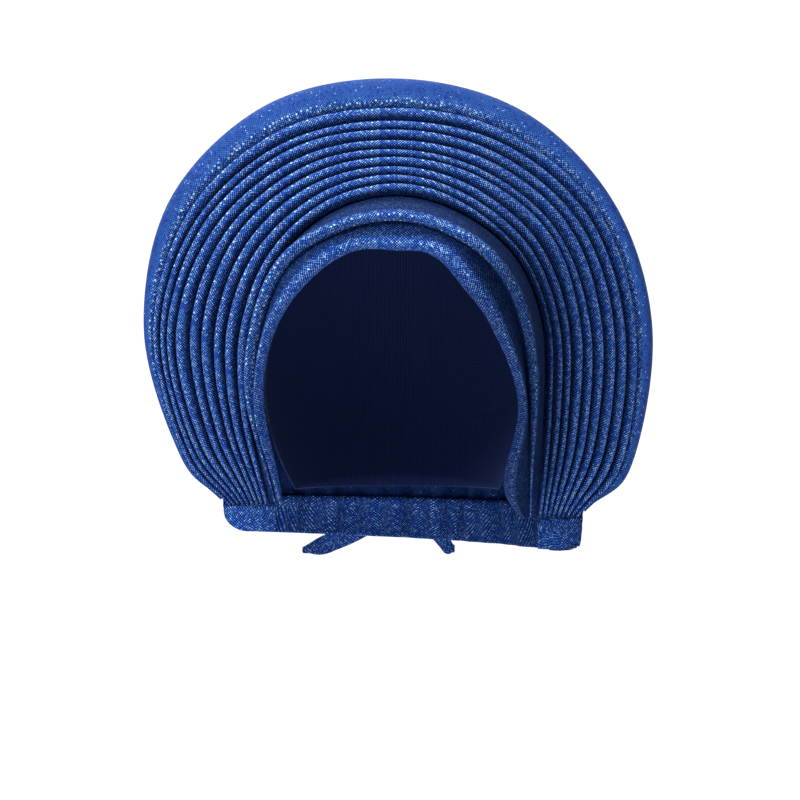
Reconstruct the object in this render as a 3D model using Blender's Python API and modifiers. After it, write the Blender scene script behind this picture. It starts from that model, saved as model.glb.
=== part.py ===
"""Tied gele head tie: pleated front fan, brow folds, back drape, side gathers and nape tie.

Metres, +Z up. The face opening looks along -Y and +X is the viewer's right. The origin is the
crown seat, the point where the inside of the cap rests on the top of a head.

Every cloth piece is a surface over (along, across). Along runs from the left gather over the
brow or the top to the right gather, and across runs from the face outwards or backwards.
"""

import math
from collections import namedtuple

import bmesh
import bpy
from mathutils import Vector

# Head that the cap is sewn for
HEAD_WIDTH = 0.152
HEAD_LENGTH = 0.194
CROWN_HEIGHT = 0.095  # from the widest level of the head up to the crown
HEAD_BACK = 0.005  # the middle of the head lies this far behind the crown seat
NECK_TAPER = 0.36  # share of the head's width lost by the level of the nape
NECK_DROP = 0.085  # height over which it is lost

# Fan of pleats
FAN_WIDTH = 0.277
FAN_DROP = 0.082  # the middle of the fan's circle lies this far below the crown
PLEAT_RISE = 0.42  # height of a pleat as a share of its width
PLEAT_BACK_RISE = 0.45  # share of that height which the hidden side follows

# Side gathers, where all folds meet
GATHER_DROP_LEFT = 0.178
GATHER_DROP_RIGHT = 0.185
GATHER_BACK = 0.008

# Brow folds
BROW_RISE = 0.0045
UPPER_FOLD_RISE = 0.0060
BROW_LEAF = 0.017  # depth of the leaf that is turned in under the brow band
CAP_SETBACK = 0.008  # the cap's front edge lies this far behind the face edge

# Back drape
BACK_REACH = 0.090
NAPE_REACH = 0.080  # the nape band's ring runs this far behind the gathers
NAPE_RISE = 0.125
NAPE_FLARE = 0.055
SHIRR_COUNT = 10
SHIRR_DEPTH = 0.0026

# Nape band and cuffs
BAND_HEIGHT_LEFT = 0.0140
BAND_HEIGHT_RIGHT = 0.0175
CUFF_ROLL = 0.0022
CUFF_ROUNDING = 0.0055  # the cuff's hem is this much shorter at its outer corner
CAP_HEM_DROP = 0.170

# Tie at the nape
KNOT_WIDTH = 0.026
KNOT_HEIGHT = 0.016
KNOT_DEPTH = 0.012
KNOT_PINCH = 0.25  # share of its height lost at the knot's middle
TAIL_WIDTH = 0.011
TAIL_LEFT_REACH = 0.058
TAIL_RIGHT_REACH = 0.030
TAIL_DROP = 0.016

# Cloth and clearances
WALL = 0.0015
BAND_WALL = 0.0020
GAP = 0.0003
SEAT_GAP = 0.0007
CUFF_GAP = 0.0008  # between the pleats' ends and the cuff below them

STATIONS = 40  # steps along each fold

HEAD_HALF = HEAD_WIDTH / 2
FAN_HALF = FAN_WIDTH / 2
HEAD_CENTRE = Vector((0.0, HEAD_BACK, -CROWN_HEIGHT))
FAN_CENTRE = Vector((0.0, 0.0, -FAN_DROP))

# A rail is the line that one fold edge follows from gather to gather, seen from the front. Its
# distances from the fan's centre are shares of a named half width, one for every 30 degrees from
# lower left (l120) over the top to lower right (r120). from_left and from_right are the places
# across where it meets the gathers. The leans are how far it comes forward by crown height, as
# shares of HEAD_LENGTH. The tuck is how far it bends in above the right gather.
Rail = namedtuple(
    "Rail",
    "unit from_left l120 l90 l60 l30 top r30 r60 r90 r120 from_right lean_left lean_top lean_right tuck",
)
FACE_EDGE = Rail(
    HEAD_HALF, -0.83, 1.10, 0.845, 0.672, 0.588, 0.518, 0.545, 0.524, 0.643, 0.97, 0.90, 0.61, 0.58,
    0.75, 0.009
)
BROW_GROOVE = Rail(
    HEAD_HALF, -0.88, 1.15, 0.945, 0.86, 0.755, 0.72, 0.715, 0.77, 0.855, 1.08, 0.965, 0.55, 0.53, 0.67, 0.0
)
FAN_INNER = Rail(
    HEAD_HALF, -0.93, 1.21, 1.012, 0.955, 0.925, 0.915, 0.915, 0.972, 1.04, 1.22, 1.02, 0.42, 0.41, 0.45, 0.0
)
FAN_OUTER = Rail(
    FAN_HALF, -0.675, 0.98, 0.96, 0.93, 0.89, 0.85, 0.87, 0.91, 0.94, 1.035, 0.72, 0.16, 0.16, 0.16, 0.0
)
OUTLINE = Rail(
    FAN_HALF, -0.69, 0.995, 1.00, 1.03, 1.02, 0.985, 0.99, 0.99, 1.01, 1.075, 0.737, 0.08, 0.07, 0.08, 0.0
)

# Outer edge of each pleat, as a share of the way across the fan, at five places along it
Pleat = namedtuple("Pleat", "left upper_left top upper_right right")
PLEATS = [
    Pleat(0.13, 0.10, 0.11, 0.06, 0.07),
    Pleat(0.27, 0.21, 0.21, 0.16, 0.17),
    Pleat(0.38, 0.33, 0.31, 0.27, 0.26),
    Pleat(0.51, 0.45, 0.42, 0.41, 0.39),
    Pleat(0.63, 0.56, 0.51, 0.50, 0.50),
    Pleat(0.77, 0.67, 0.62, 0.63, 0.62),
    Pleat(0.86, 0.79, 0.74, 0.75, 0.75),
    Pleat(0.93, 0.88, 0.85, 0.87, 0.88),
    Pleat(1.00, 1.00, 1.00, 1.00, 1.00),
]

# Section of a fold: place across it and height, both as shares
Section = namedtuple("Section", "across height")
PLEAT_SECTION = [Section(0.0, 0.0), Section(0.36, 0.72), Section(0.78, 1.0)]
BROW_SECTION = [
    Section(0.0, 0.0),
    Section(0.22, 0.80),
    Section(0.52, 1.0),
    Section(0.80, 0.62),
    Section(1.0, 0.0),
]
UPPER_SECTION = [
    Section(0.0, 0.0),
    Section(0.14, 0.85),
    Section(0.42, 1.0),
    Section(0.74, 0.60),
    Section(1.0, 0.0),
]

# Plan of a tie tail: way along it, then its half width and its droop, as shares
TailStep = namedtuple("TailStep", "way half_width droop")
TAIL_STEPS = [
    TailStep(0.0, 0.42, 0.0),
    TailStep(0.35, 0.50, 0.30),
    TailStep(0.75, 0.50, 0.80),
    TailStep(1.0, 0.12, 1.0),
]

COLLECTION = "gele_head_tie"


def smooth(value):
    """Ease from 0 to 1."""
    value = min(max(value, 0.0), 1.0)
    return value * value * (3 - 2 * value)


def spline(points, share):
    """Catmull-Rom curve through points, read at a share of the way along."""
    last = len(points) - 1
    place = min(max(share, 0.0), 1.0) * last
    index = min(int(place), last - 1)
    part = place - index
    before = points[index - 1] if index else points[0] * 2 - points[1]
    start = points[index]
    end = points[index + 1]
    after = points[index + 2] if index + 2 <= last else points[last] * 2 - points[last - 1]
    slope_in = (end - before) / 2
    slope_out = (after - start) / 2
    return (
        start * (2 * part**3 - 3 * part**2 + 1)
        + slope_in * (part**3 - 2 * part**2 + part)
        + end * (3 * part**2 - 2 * part**3)
        + slope_out * (part**3 - part**2)
    )


def gather_height(along):
    """Level of the line between the two gathers."""
    return -GATHER_DROP_LEFT + (GATHER_DROP_LEFT - GATHER_DROP_RIGHT) * along


def rail_point(rail, along):
    """Point of a rail, seen from the front and then brought forward by its lean."""
    shares = (rail.l120, rail.l90, rail.l60, rail.l30, rail.top, rail.r30, rail.r60, rail.r90, rail.r120)
    points = [Vector((rail.from_left * rail.unit, 0.0, -GATHER_DROP_LEFT))]
    for step, share in enumerate(shares):
        angle = math.radians(-120 + 30 * step)
        offset = Vector((math.sin(angle), 0.0, math.cos(angle))) * share * rail.unit
        points.append(FAN_CENTRE + offset)
    points.append(Vector((rail.from_right * rail.unit, 0.0, -GATHER_DROP_RIGHT)))
    point = spline(points, along)
    last_run = min(max(along * 10 - 9, 0.0), 1.0)
    point.x -= rail.tuck * math.sin(math.pi * last_run**2)
    lean = spline([rail.lean_left, rail.lean_left, rail.lean_top, rail.lean_right, rail.lean_right], along)
    rise = (point.z - gather_height(along)) / -gather_height(along)
    point.y = GATHER_BACK - lean * HEAD_LENGTH * rise
    return point


def pleat_edges(along):
    """Shares across the fan of every groove at one station, from the inner edge to the outer."""
    count = len(PLEATS)
    edges = [0.0]
    for index, pleat in enumerate(PLEATS):
        even = (index + 1) / count
        edges.append(spline([even, *pleat, even], along))
    return edges


def on_head(point, clear):
    """Move a point straight out or in until it lies clear of the head by the given distance."""
    offset = point - HEAD_CENTRE
    half_length = HEAD_LENGTH / 2
    if offset.z >= 0:
        level = math.sqrt(
            (offset.x / HEAD_HALF) ** 2 + (offset.y / half_length) ** 2 + (offset.z / CROWN_HEIGHT) ** 2
        )
        seat = offset / level
        normal = Vector((seat.x / HEAD_HALF**2, seat.y / half_length**2, seat.z / CROWN_HEIGHT**2))
    else:
        narrowing = 1 - NECK_TAPER * (offset.z / NECK_DROP) ** 2
        level = math.hypot(offset.x / HEAD_HALF, offset.y / half_length) / narrowing
        seat = Vector((offset.x / level, offset.y / level, offset.z))
        normal = Vector((seat.x / HEAD_HALF**2, seat.y / half_length**2, 0.0))
    return HEAD_CENTRE + seat + normal.normalized() * clear


def clear_of_head(point, clear):
    """The point itself, or the nearest one straight out from it that lies clear of the head."""
    seat = on_head(point, clear)
    inside = (point - HEAD_CENTRE).length < (seat - HEAD_CENTRE).length
    return seat if inside else point


def behind_face_edge(along, distance, clear):
    """Point on the head, this far behind the face edge."""
    edge = rail_point(FACE_EDGE, along)
    outward = edge - FAN_CENTRE
    outward.y = 0
    outward.z = max(outward.z, 0)
    step = outward.normalized() * 0.8 + Vector((0, 0.6, 0))
    return on_head(edge + step * distance, clear)


def across_strip(inner, outer, share, trim):
    """Point between two rails, with half a gap left free at either edge."""
    span = outer - inner
    inset = trim / 2 / span.length
    return inner + span * (inset + share * (1 - 2 * inset))


def strip_normal(inner_rail, outer_rail, along):
    """Direction in which a strip between two rails faces."""
    step = 0.5 / STATIONS
    early = max(along - step, 0.0)
    late = min(along + step, 1.0)
    mid_early = (rail_point(inner_rail, early) + rail_point(outer_rail, early)) / 2
    mid_late = (rail_point(inner_rail, late) + rail_point(outer_rail, late)) / 2
    across = rail_point(outer_rail, along) - rail_point(inner_rail, along)
    return (mid_late - mid_early).cross(across).normalized()


def fan_section():
    """Every (pleat index, section point) across the fan, ending on the outermost groove."""
    steps = [(index, point) for index in range(len(PLEATS)) for point in PLEAT_SECTION]
    return steps + [(len(PLEATS) - 1, Section(1.0, 0.0))]


def fan_surface(along, across, rise_share):
    """Point of the pleated fan. A rise share of 1 is the seen side."""
    steps = fan_section()
    index, point = steps[round(across * (len(steps) - 1))]
    edges = pleat_edges(along)
    width = edges[index + 1] - edges[index]
    inner = rail_point(FAN_INNER, along)
    outer = rail_point(FAN_OUTER, along)
    base = across_strip(inner, outer, edges[index] + width * point.across, GAP)
    height = point.height * PLEAT_RISE * width * (outer - inner).length
    return base + strip_normal(FAN_INNER, FAN_OUTER, along) * height * rise_share


def fan_front(along, across):
    """Seen side of the fan."""
    return fan_surface(along, across, 1.0)


def fan_back(along, across):
    """Hidden side of the fan, one wall behind the grooves and flatter than the seen side."""
    return fan_surface(along, across, PLEAT_BACK_RISE) - strip_normal(FAN_INNER, FAN_OUTER, along) * WALL


def upper_fold_surface(along, across):
    """Rounded fold between the brow band and the fan."""
    point = UPPER_SECTION[round(across * (len(UPPER_SECTION) - 1))]
    inner = rail_point(BROW_GROOVE, along)
    outer = rail_point(FAN_INNER, along)
    ends = smooth(min(along, 1 - along) / 0.15)
    height = point.height * UPPER_FOLD_RISE * ends
    base = across_strip(inner, outer, point.across, GAP)
    return base + strip_normal(BROW_GROOVE, FAN_INNER, along) * height


def brow_band_surface(along, across):
    """Brow band: a leaf that lies on the cap, turned over the face edge into the front face."""
    steps = len(BROW_SECTION) + 1
    place = round(across * steps)
    hold = smooth(min(along, 1 - along) / 0.10)
    edge = rail_point(FACE_EDGE, along)
    if place < 2:
        depth = BROW_LEAF if place == 0 else CAP_SETBACK / 2
        free = edge + Vector((0, BAND_WALL * (3.2 if place == 0 else 1.6), 0))
        seated = behind_face_edge(along, depth, WALL + SEAT_GAP)
        return clear_of_head(free.lerp(seated, hold), WALL + SEAT_GAP)
    point = BROW_SECTION[place - 2]
    outer = rail_point(BROW_GROOVE, along)
    height = point.height * BROW_RISE * (0.3 + 0.7 * hold)
    return across_strip(edge, outer, point.across, GAP) + strip_normal(FACE_EDGE, BROW_GROOVE, along) * height


def cap_surface(along, across):
    """Cap that holds the head, from behind the face edge over the crown to the nape."""
    place = 0.07 + 0.86 * along
    rim = behind_face_edge(place, CAP_SETBACK, 0.0)
    turn = math.pi * along
    hem = Vector(
        (-math.cos(turn) * HEAD_HALF, HEAD_BACK + math.sin(turn) * HEAD_LENGTH / 2, -CAP_HEM_DROP)
    )
    hem = on_head(hem, 0.0)
    over = HEAD_CENTRE + Vector(
        (-math.cos(turn) * HEAD_WIDTH * 0.6, HEAD_LENGTH * 0.33, CROWN_HEIGHT * 1.9 * math.sin(turn))
    )
    over = ((rim + hem) / 2).lerp(over, math.sin(turn) ** 1.5)
    point = rim * (1 - across) ** 2 + over * 2 * across * (1 - across) + hem * across**2
    return on_head(point, WALL)


def nape_ring(along, corner_left, corner_right):
    """Half ring in plan, from the left gather's corner round the nape to the right one."""
    middle = (corner_left + corner_right) / 2
    reach = (corner_right - corner_left) / 2
    turn = math.pi * along
    return Vector((middle - reach * math.cos(turn), GATHER_BACK + NAPE_REACH * math.sin(turn), 0.0))


def shirring(along, across):
    """Depth of the drape's soft gathers, which fade out up the back."""
    wave = math.cos(2 * math.pi * SHIRR_COUNT * along)
    return SHIRR_DEPTH * across**2 * wave * smooth(min(along, 1 - along) / 0.08)


def ring_point(along, level):
    """Point on the ring that the drape and the nape band share."""
    corner_left = OUTLINE.from_left * FAN_HALF
    corner_right = OUTLINE.from_right * FAN_HALF
    point = nape_ring(along, corner_left, corner_right)
    point.z = gather_height(along) + level
    outward = Vector((point.x, point.y - GATHER_BACK, 0)).normalized()
    return point, outward


def drape_surface(along, across):
    """Back drape: the broad outer fold, rolled over the outline and drawn down to the nape."""
    place = 0.035 + 0.93 * along
    groove = rail_point(FAN_OUTER, place)
    outline = rail_point(OUTLINE, place)
    groove = groove + (outline - groove).normalized() * GAP / 2
    roll = 0.22
    if across < roll:
        turn = math.pi / 2 * across / roll
        span = outline - groove
        return Vector(
            (
                groove.x + span.x * math.sin(turn),
                groove.y + span.y * (1 - math.cos(turn)),
                groove.z + span.z * math.sin(turn),
            )
        )
    down = (across - roll) / (1 - roll)
    fullness = math.sin(math.pi * place)
    nape, outward = ring_point(place, GAP)
    nape = nape + outward * shirring(place, 1.0)
    lifted = outline + Vector((0, BACK_REACH * fullness**0.8, 0))
    hanging = nape + outward * NAPE_FLARE * fullness + Vector((0, 0, NAPE_RISE * fullness))
    point = (
        outline * (1 - down) ** 3
        + lifted * 3 * down * (1 - down) ** 2
        + hanging * 3 * down**2 * (1 - down)
        + nape * down**3
    )
    return point + outward * (shirring(place, down) - shirring(place, 1.0) * down**3)


def band_height(along):
    """Height of the nape band, which is deeper on the right."""
    return BAND_HEIGHT_LEFT + (BAND_HEIGHT_RIGHT - BAND_HEIGHT_LEFT) * along


def nape_band_surface(along, across):
    """Band round the nape between the two cuffs, softly fluted like the drape above it."""
    place = 0.05 + 0.90 * along
    point, outward = ring_point(place, 0.0)
    point.z -= band_height(place) * across
    swell = math.sin(math.pi * across) * CUFF_ROLL * 0.6
    return point + outward * (shirring(place, 1.0) * (1 - 0.5 * across) + swell)


def cuff_surface(side, along, across):
    """Cuff below one gather: a lip across the pleats' ends, turned back round the outer corner."""
    end = 0.0 if side < 0 else 1.0
    inner_x = (BROW_GROOVE.from_left if side < 0 else FAN_INNER.from_right) * HEAD_HALF
    corner, _ = ring_point(end, 0.0)
    height = band_height(end)
    turn_share = 0.62
    if along <= turn_share:
        way = along / turn_share
        front = CUFF_ROLL * 1.6 * math.sin(math.pi * way)
        plan = Vector((inner_x + (corner.x - inner_x) * way, GATHER_BACK - front, 0))
        outward = Vector((0, -1, 0)).lerp(Vector((side, 0, 0)), way**3)
    else:
        way = (along - turn_share) / (1 - turn_share)
        ring_share = 0.047 * way
        plan, outward = ring_point(ring_share if side < 0 else 1 - ring_share, 0.0)
        outward = Vector((side, 0, 0)).lerp(outward, way)
    shortening = CUFF_ROUNDING * math.sin(math.pi * min(along / turn_share, 2 - along / turn_share) / 2) ** 3
    roll = CUFF_ROLL * math.sin(math.pi * min(across / 0.45, 1.0))
    top = gather_height(end) - CUFF_GAP
    level = top - (height - shortening) * across
    return Vector((plan.x, plan.y, level)) + outward.normalized() * roll


def left_cuff_surface(along, across):
    """Left cuff, from its inner lip to the nape band."""
    return cuff_surface(-1, along, across)


def right_cuff_surface(along, across):
    """Right cuff, from the nape band to its inner lip, so that it faces the same way."""
    return cuff_surface(1, 1 - along, across)


def knot_centre():
    """Middle of the knot, which is seated on the crest of the band's middle flute."""
    return nape_band_surface(0.5, 0.6) + Vector((0, KNOT_DEPTH / 2 + GAP, 0))


def tail_surface(side, reach, along, across):
    """Flat tie tail that leaves the knot sideways, follows the nape and droops to its tip."""
    step = TAIL_STEPS[round(along * (len(TAIL_STEPS) - 1))]
    knot = knot_centre()
    start = KNOT_WIDTH / 2 + GAP
    side_way = start + (reach - start) * step.way
    ring_reach = (OUTLINE.from_right - OUTLINE.from_left) * FAN_HALF / 2
    inward = NAPE_REACH * (1 - math.sqrt(1 - (step.way * reach / ring_reach) ** 2))
    z = knot.z - TAIL_DROP * step.droop + TAIL_WIDTH * step.half_width * (1 - 2 * across)
    return Vector((knot.x + side * side_way, knot.y - inward, z))


def add_object(name, mesh, color, roughness, holder):
    """Put a mesh in the head tie's collection with a cloth material of its own."""
    material = bpy.data.materials.new(f"{name}_cloth")
    material.use_nodes = True
    shader = material.node_tree.nodes["Principled BSDF"]
    shader.inputs["Base Color"].default_value = (*color, 1.0)
    shader.inputs["Roughness"].default_value = roughness
    shader.inputs["Metallic"].default_value = 0.0
    mesh.materials.append(material)
    piece = bpy.data.objects.new(name, mesh)
    piece.parent = holder
    bpy.data.collections[COLLECTION].objects.link(piece)
    return piece


def grid_mesh(surface, along_steps, across_steps, mesh):
    """Add a grid whose points follow surface(along, across)."""
    made = bmesh.ops.create_grid(mesh, x_segments=along_steps, y_segments=across_steps, size=1.0)
    for vertex in made["verts"]:
        vertex.co = surface((vertex.co.x + 1) / 2, (vertex.co.y + 1) / 2)
    return made["verts"]


def sheet(name, surface, steps, wall, color, holder):
    """Cloth of one thickness: an open surface made solid on its hidden side."""
    shape = bmesh.new()
    grid_mesh(surface, steps[0], steps[1], shape)
    mesh = bpy.data.meshes.new(name)
    shape.to_mesh(mesh)
    shape.free()
    mesh.shade_smooth()
    piece = add_object(name, mesh, color, 0.5, holder)
    solid = piece.modifiers.new("wall", "SOLIDIFY")
    solid.thickness = wall
    solid.offset = -1.0
    return piece


def lined_sheet(name, front, back, steps, color, holder):
    """Cloth whose two sides follow surfaces of their own, joined round the border."""
    shape = bmesh.new()
    grid_mesh(front, steps[0], steps[1], shape)
    front_faces = shape.faces[:]
    grid_mesh(back, steps[0], steps[1], shape)
    back_faces = [face for face in shape.faces if face not in set(front_faces)]
    bmesh.ops.reverse_faces(shape, faces=back_faces)
    border = [edge for edge in shape.edges if edge.is_boundary]
    bmesh.ops.bridge_loops(shape, edges=border)
    bmesh.ops.recalc_face_normals(shape, faces=shape.faces[:])
    mesh = bpy.data.meshes.new(name)
    shape.to_mesh(mesh)
    shape.free()
    mesh.shade_smooth()
    return add_object(name, mesh, color, 0.5, holder)


def nape_knot(color, holder):
    """Knot of the tie, a pinched ball seated on the middle of the nape band."""
    centre = knot_centre()
    shape = bmesh.new()
    bmesh.ops.create_uvsphere(shape, u_segments=16, v_segments=10, radius=0.5)
    for vertex in shape.verts:
        pinch = 1 - KNOT_PINCH * math.cos(math.pi * vertex.co.x) ** 4
        x, y, z = vertex.co
        vertex.co = centre + Vector((x * KNOT_WIDTH, y * KNOT_DEPTH, z * KNOT_HEIGHT * pinch))
    mesh = bpy.data.meshes.new("nape_knot")
    shape.to_mesh(mesh)
    shape.free()
    mesh.shade_smooth()
    return add_object("nape_knot", mesh, color, 0.5, holder)


def clear_scene():
    """Remove whatever objects the file opened with."""
    for thing in list(bpy.data.objects):
        bpy.data.objects.remove(thing, do_unlink=True)


def main():
    """Build every piece of the head tie."""
    clear_scene()
    collection = bpy.data.collections.new(COLLECTION)
    bpy.context.scene.collection.children.link(collection)
    holder = bpy.data.objects.new("crown_seat", None)
    collection.objects.link(holder)

    royal = (0.020, 0.075, 0.320)
    shade = (0.012, 0.040, 0.200)
    deep = (0.008, 0.025, 0.130)
    fan_steps = (STATIONS, len(fan_section()) - 1)
    sheet("under_cap", cap_surface, (STATIONS // 2, 14), WALL, deep, holder)
    sheet("brow_band", brow_band_surface, (STATIONS, len(BROW_SECTION) + 1), BAND_WALL, royal, holder)
    sheet("upper_fold", upper_fold_surface, (STATIONS, len(UPPER_SECTION) - 1), BAND_WALL, shade, holder)
    lined_sheet("pleated_fan", fan_front, fan_back, fan_steps, royal, holder)
    sheet("back_drape", drape_surface, (STATIONS, 14), WALL, royal, holder)
    sheet("nape_band", nape_band_surface, (STATIONS, 3), BAND_WALL, shade, holder)
    sheet("left_cuff", left_cuff_surface, (14, 5), BAND_WALL, royal, holder)
    sheet("right_cuff", right_cuff_surface, (14, 5), BAND_WALL, royal, holder)
    nape_knot(royal, holder)
    for name, side, reach in (("left_tail", -1, TAIL_LEFT_REACH), ("right_tail", 1, TAIL_RIGHT_REACH)):
        sheet(
            name,
            lambda along, across, side=side, reach=reach: tail_surface(side, reach, along, across),
            (len(TAIL_STEPS) - 1, 2),
            BAND_WALL,
            royal,
            holder,
        )


main()
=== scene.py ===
"""Dressed model of a tied gele head tie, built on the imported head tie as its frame.

Metres, +Z up. The face opening looks along -Y and +X is the viewer's right. The origin is the
crown seat, the point where the inside of the cap rests on the top of a head.

Each cloth piece is one surface over (along, across). Along runs from the left gather over the
brow or the top to the right gather. Across runs from the face outwards, or from the top down.
"""

import logging
import math
from dataclasses import dataclass, field
from enum import Enum
from typing import Optional, Sequence

import bmesh
import bpy
import numpy as np
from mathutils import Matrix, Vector


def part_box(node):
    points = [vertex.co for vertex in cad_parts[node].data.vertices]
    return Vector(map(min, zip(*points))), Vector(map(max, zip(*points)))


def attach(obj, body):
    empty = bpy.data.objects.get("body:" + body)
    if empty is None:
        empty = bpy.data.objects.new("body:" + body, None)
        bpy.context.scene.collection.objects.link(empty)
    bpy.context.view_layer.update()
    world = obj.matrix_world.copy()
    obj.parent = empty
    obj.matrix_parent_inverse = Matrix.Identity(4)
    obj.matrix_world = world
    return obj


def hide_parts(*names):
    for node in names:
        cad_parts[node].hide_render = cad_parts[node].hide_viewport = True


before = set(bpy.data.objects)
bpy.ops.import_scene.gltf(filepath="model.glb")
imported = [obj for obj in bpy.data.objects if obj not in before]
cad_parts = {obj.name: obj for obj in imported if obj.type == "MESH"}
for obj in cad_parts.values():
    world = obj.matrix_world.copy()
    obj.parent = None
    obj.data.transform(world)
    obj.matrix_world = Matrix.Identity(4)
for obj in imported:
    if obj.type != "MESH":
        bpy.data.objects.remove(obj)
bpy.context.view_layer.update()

LOG = logging.getLogger("gele_head_tie")

Points = np.ndarray
Colour = tuple[float, float, float]
Pair = tuple[float, float]

# Place, length and level of a stretch across a fold that lies in shade or in light
Zone = tuple[float, float, float]


class Side(Enum):
    """Side of the head tie, as the sign of X."""

    LEFT = -1
    RIGHT = 1


class Slot(Enum):
    """Material slots of the record."""

    GELE = "gele_cloth"
    CAP = "cap_cloth"
    TIE = "tie_cloth"


class Hold(Enum):
    """How a sheet of cloth is held."""

    DRAPED = "draped"
    GATHERED = "gathered"
    FOLDED = "folded"
    STRETCHED = "stretched"
    HUNG = "hung"


def ease(value: Points) -> Points:
    """Ease from 0 to 1."""
    value = np.clip(value, 0.0, 1.0)
    return value * value * (3 - 2 * value)


def ramp(value: Points, start: float, length: float, level: float = 1.0) -> Points:
    """Rise from 0 at the start to a level after the length."""
    return level * np.clip((value - start) / length, 0.0, 1.0)


def fade(value: Points, end: float, length: float, level: float = 1.0) -> Points:
    """Fall from a level to 0 over the length before the end."""
    return level * np.clip((end - value) / length, 0.0, 1.0)


def glow(value: Points, centre: float, width: float, level: float = 1.0) -> Points:
    """Soft bell of a given level round its centre."""
    return level * np.exp(-(((value - centre) / width) ** 2))


def from_ends(along: Points) -> Points:
    """Distance from the nearer end, as a share of the length."""
    return np.minimum(along, 1 - along)


def unit(vectors: Points) -> Points:
    """Vectors of length one along the last axis."""
    size = np.linalg.norm(vectors, axis=-1, keepdims=True)
    return vectors / np.maximum(size, 1e-12)


def spline(points: Points, share: Points) -> Points:
    """Catmull-Rom curve through points, read at shares of the way along.

    Args:
        points: Control points, one a row.
        share: Places along the curve, from 0 to 1.

    Returns:
        One row for each share.
    """
    points = np.asarray(points, float)
    if points.ndim == 1:
        points = points[:, None]
        return spline(points, share)[..., 0]
    padded = np.vstack([2 * points[0] - points[1], points, 2 * points[-1] - points[-2]])
    place = np.clip(np.asarray(share, float), 0.0, 1.0) * (len(points) - 1)
    index = np.minimum(place.astype(int), len(points) - 2)
    part = (place - index)[..., None]
    before, start, end, after = (padded[index + step] for step in range(4))
    return (
        start * (2 * part**3 - 3 * part**2 + 1)
        + (end - before) / 2 * (part**3 - 2 * part**2 + part)
        + end * (3 * part**2 - 2 * part**3)
        + (after - start) / 2 * (part**3 - part**2)
    )


def spline_rows(rows: Points, count: int) -> Points:
    """Catmull-Rom curve across a stack of control points.

    Args:
        rows: Control points of shape (stations, controls, 3).
        count: Points wanted across.

    Returns:
        Points of shape (stations, count, 3).
    """
    stations, controls, width = rows.shape
    flat = np.transpose(rows, (1, 0, 2)).reshape(controls, stations * width)
    curve = spline(flat, np.linspace(0, 1, count))
    return np.transpose(curve.reshape(count, stations, width), (1, 0, 2))


def wander(along: Points, seed: int, waves: Sequence[int] = (2, 3, 5, 8)) -> Points:
    """Slow unevenness of hand-laid cloth, between about -1 and 1.

    Args:
        along: Places along the piece.
        seed: Seed of the waves' phases and sizes.
        waves: Numbers of waves over the whole length.

    Returns:
        One value for each place.
    """
    draw = np.random.default_rng(seed)
    total = np.zeros_like(along, dtype=float)
    for wave in waves:
        total = total + draw.normal(0, 1) / math.sqrt(wave) * np.sin(
            2 * math.pi * (wave * along + draw.uniform(0, 1))
        )
    return np.tanh(total * 0.8)


@dataclass(frozen=True)
class HeadForm:
    """Head that the cap is sewn for.

    Attributes:
        width: Width at its widest level.
        length: Length from brow to back at that level.
        crown: Height of the crown above that level.
        back: How far its middle lies behind the origin.
        neck_taper: How much the head narrows towards the neck.
        neck_drop: Depth over which it does so.
        neck_reach: Depth at which the narrowing ends, as a share of neck_drop.
    """

    width: float = 0.152
    length: float = 0.194
    crown: float = 0.095
    back: float = 0.005
    neck_taper: float = 0.36
    neck_drop: float = 0.085
    neck_reach: float = 1.35

    @property
    def half(self) -> float:
        """Half the head's width."""
        return self.width / 2

    @property
    def centre(self) -> Points:
        """Middle of the head at its widest level."""
        return np.array([0.0, self.back, -self.crown])

    def seat(self, points: Points, clear: float) -> Points:
        """Points moved straight out or in to lie clear of the head.

        Args:
            points: Points near the head.
            clear: Distance to keep from the head's surface.

        Returns:
            Points of the same shape.
        """
        offset = np.asarray(points, float) - self.centre
        axes = np.array([self.half, self.length / 2, self.crown])
        level = np.maximum(np.linalg.norm(offset / axes, axis=-1, keepdims=True), 1e-9)
        dome = offset / level
        dome_normal = unit(dome / axes**2)
        drop = np.clip(offset[..., 2:3] / self.neck_drop, -self.neck_reach, 0)
        narrowing = 1 - self.neck_taper * drop**2
        ring = offset[..., :2] / axes[:2]
        reach = np.maximum(np.linalg.norm(ring, axis=-1, keepdims=True), 1e-9) / narrowing
        neck = np.concatenate([offset[..., :2] / reach, offset[..., 2:3]], axis=-1)
        flat = np.concatenate([neck[..., :2] / axes[:2] ** 2, np.zeros_like(reach)], axis=-1)
        above = offset[..., 2:3] >= 0
        seat = np.where(above, dome, neck)
        normal = np.where(above, dome_normal, unit(flat))
        return self.centre + seat + normal * clear

    def keep_clear(self, points: Points, clear: float) -> Points:
        """The points themselves, or their seats on the head where they would lie inside it.

        Args:
            points: Points near the head.
            clear: Distance to keep from the head's surface.

        Returns:
            Points of the same shape.
        """
        seat = self.seat(points, clear)
        near = np.linalg.norm(points - self.centre, axis=-1, keepdims=True)
        far = np.linalg.norm(seat - self.centre, axis=-1, keepdims=True)
        return np.where(near < far, seat, points)


@dataclass(frozen=True)
class Rail:
    """Line that one fold edge follows from gather to gather, seen from the front.

    Attributes:
        unit: Half width that the shares are taken of.
        ends: Places across where the line meets the left and right gathers.
        reach: Distances from the fan's centre every 30 degrees, from lower left to lower right.
        lean: How far the line comes forward on the left, at the top and on the right.
        tuck: How far it bends in above the right gather.
    """

    unit: float
    ends: Pair
    reach: tuple[float, ...]
    lean: tuple[float, float, float]
    tuck: float = 0.0


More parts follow.
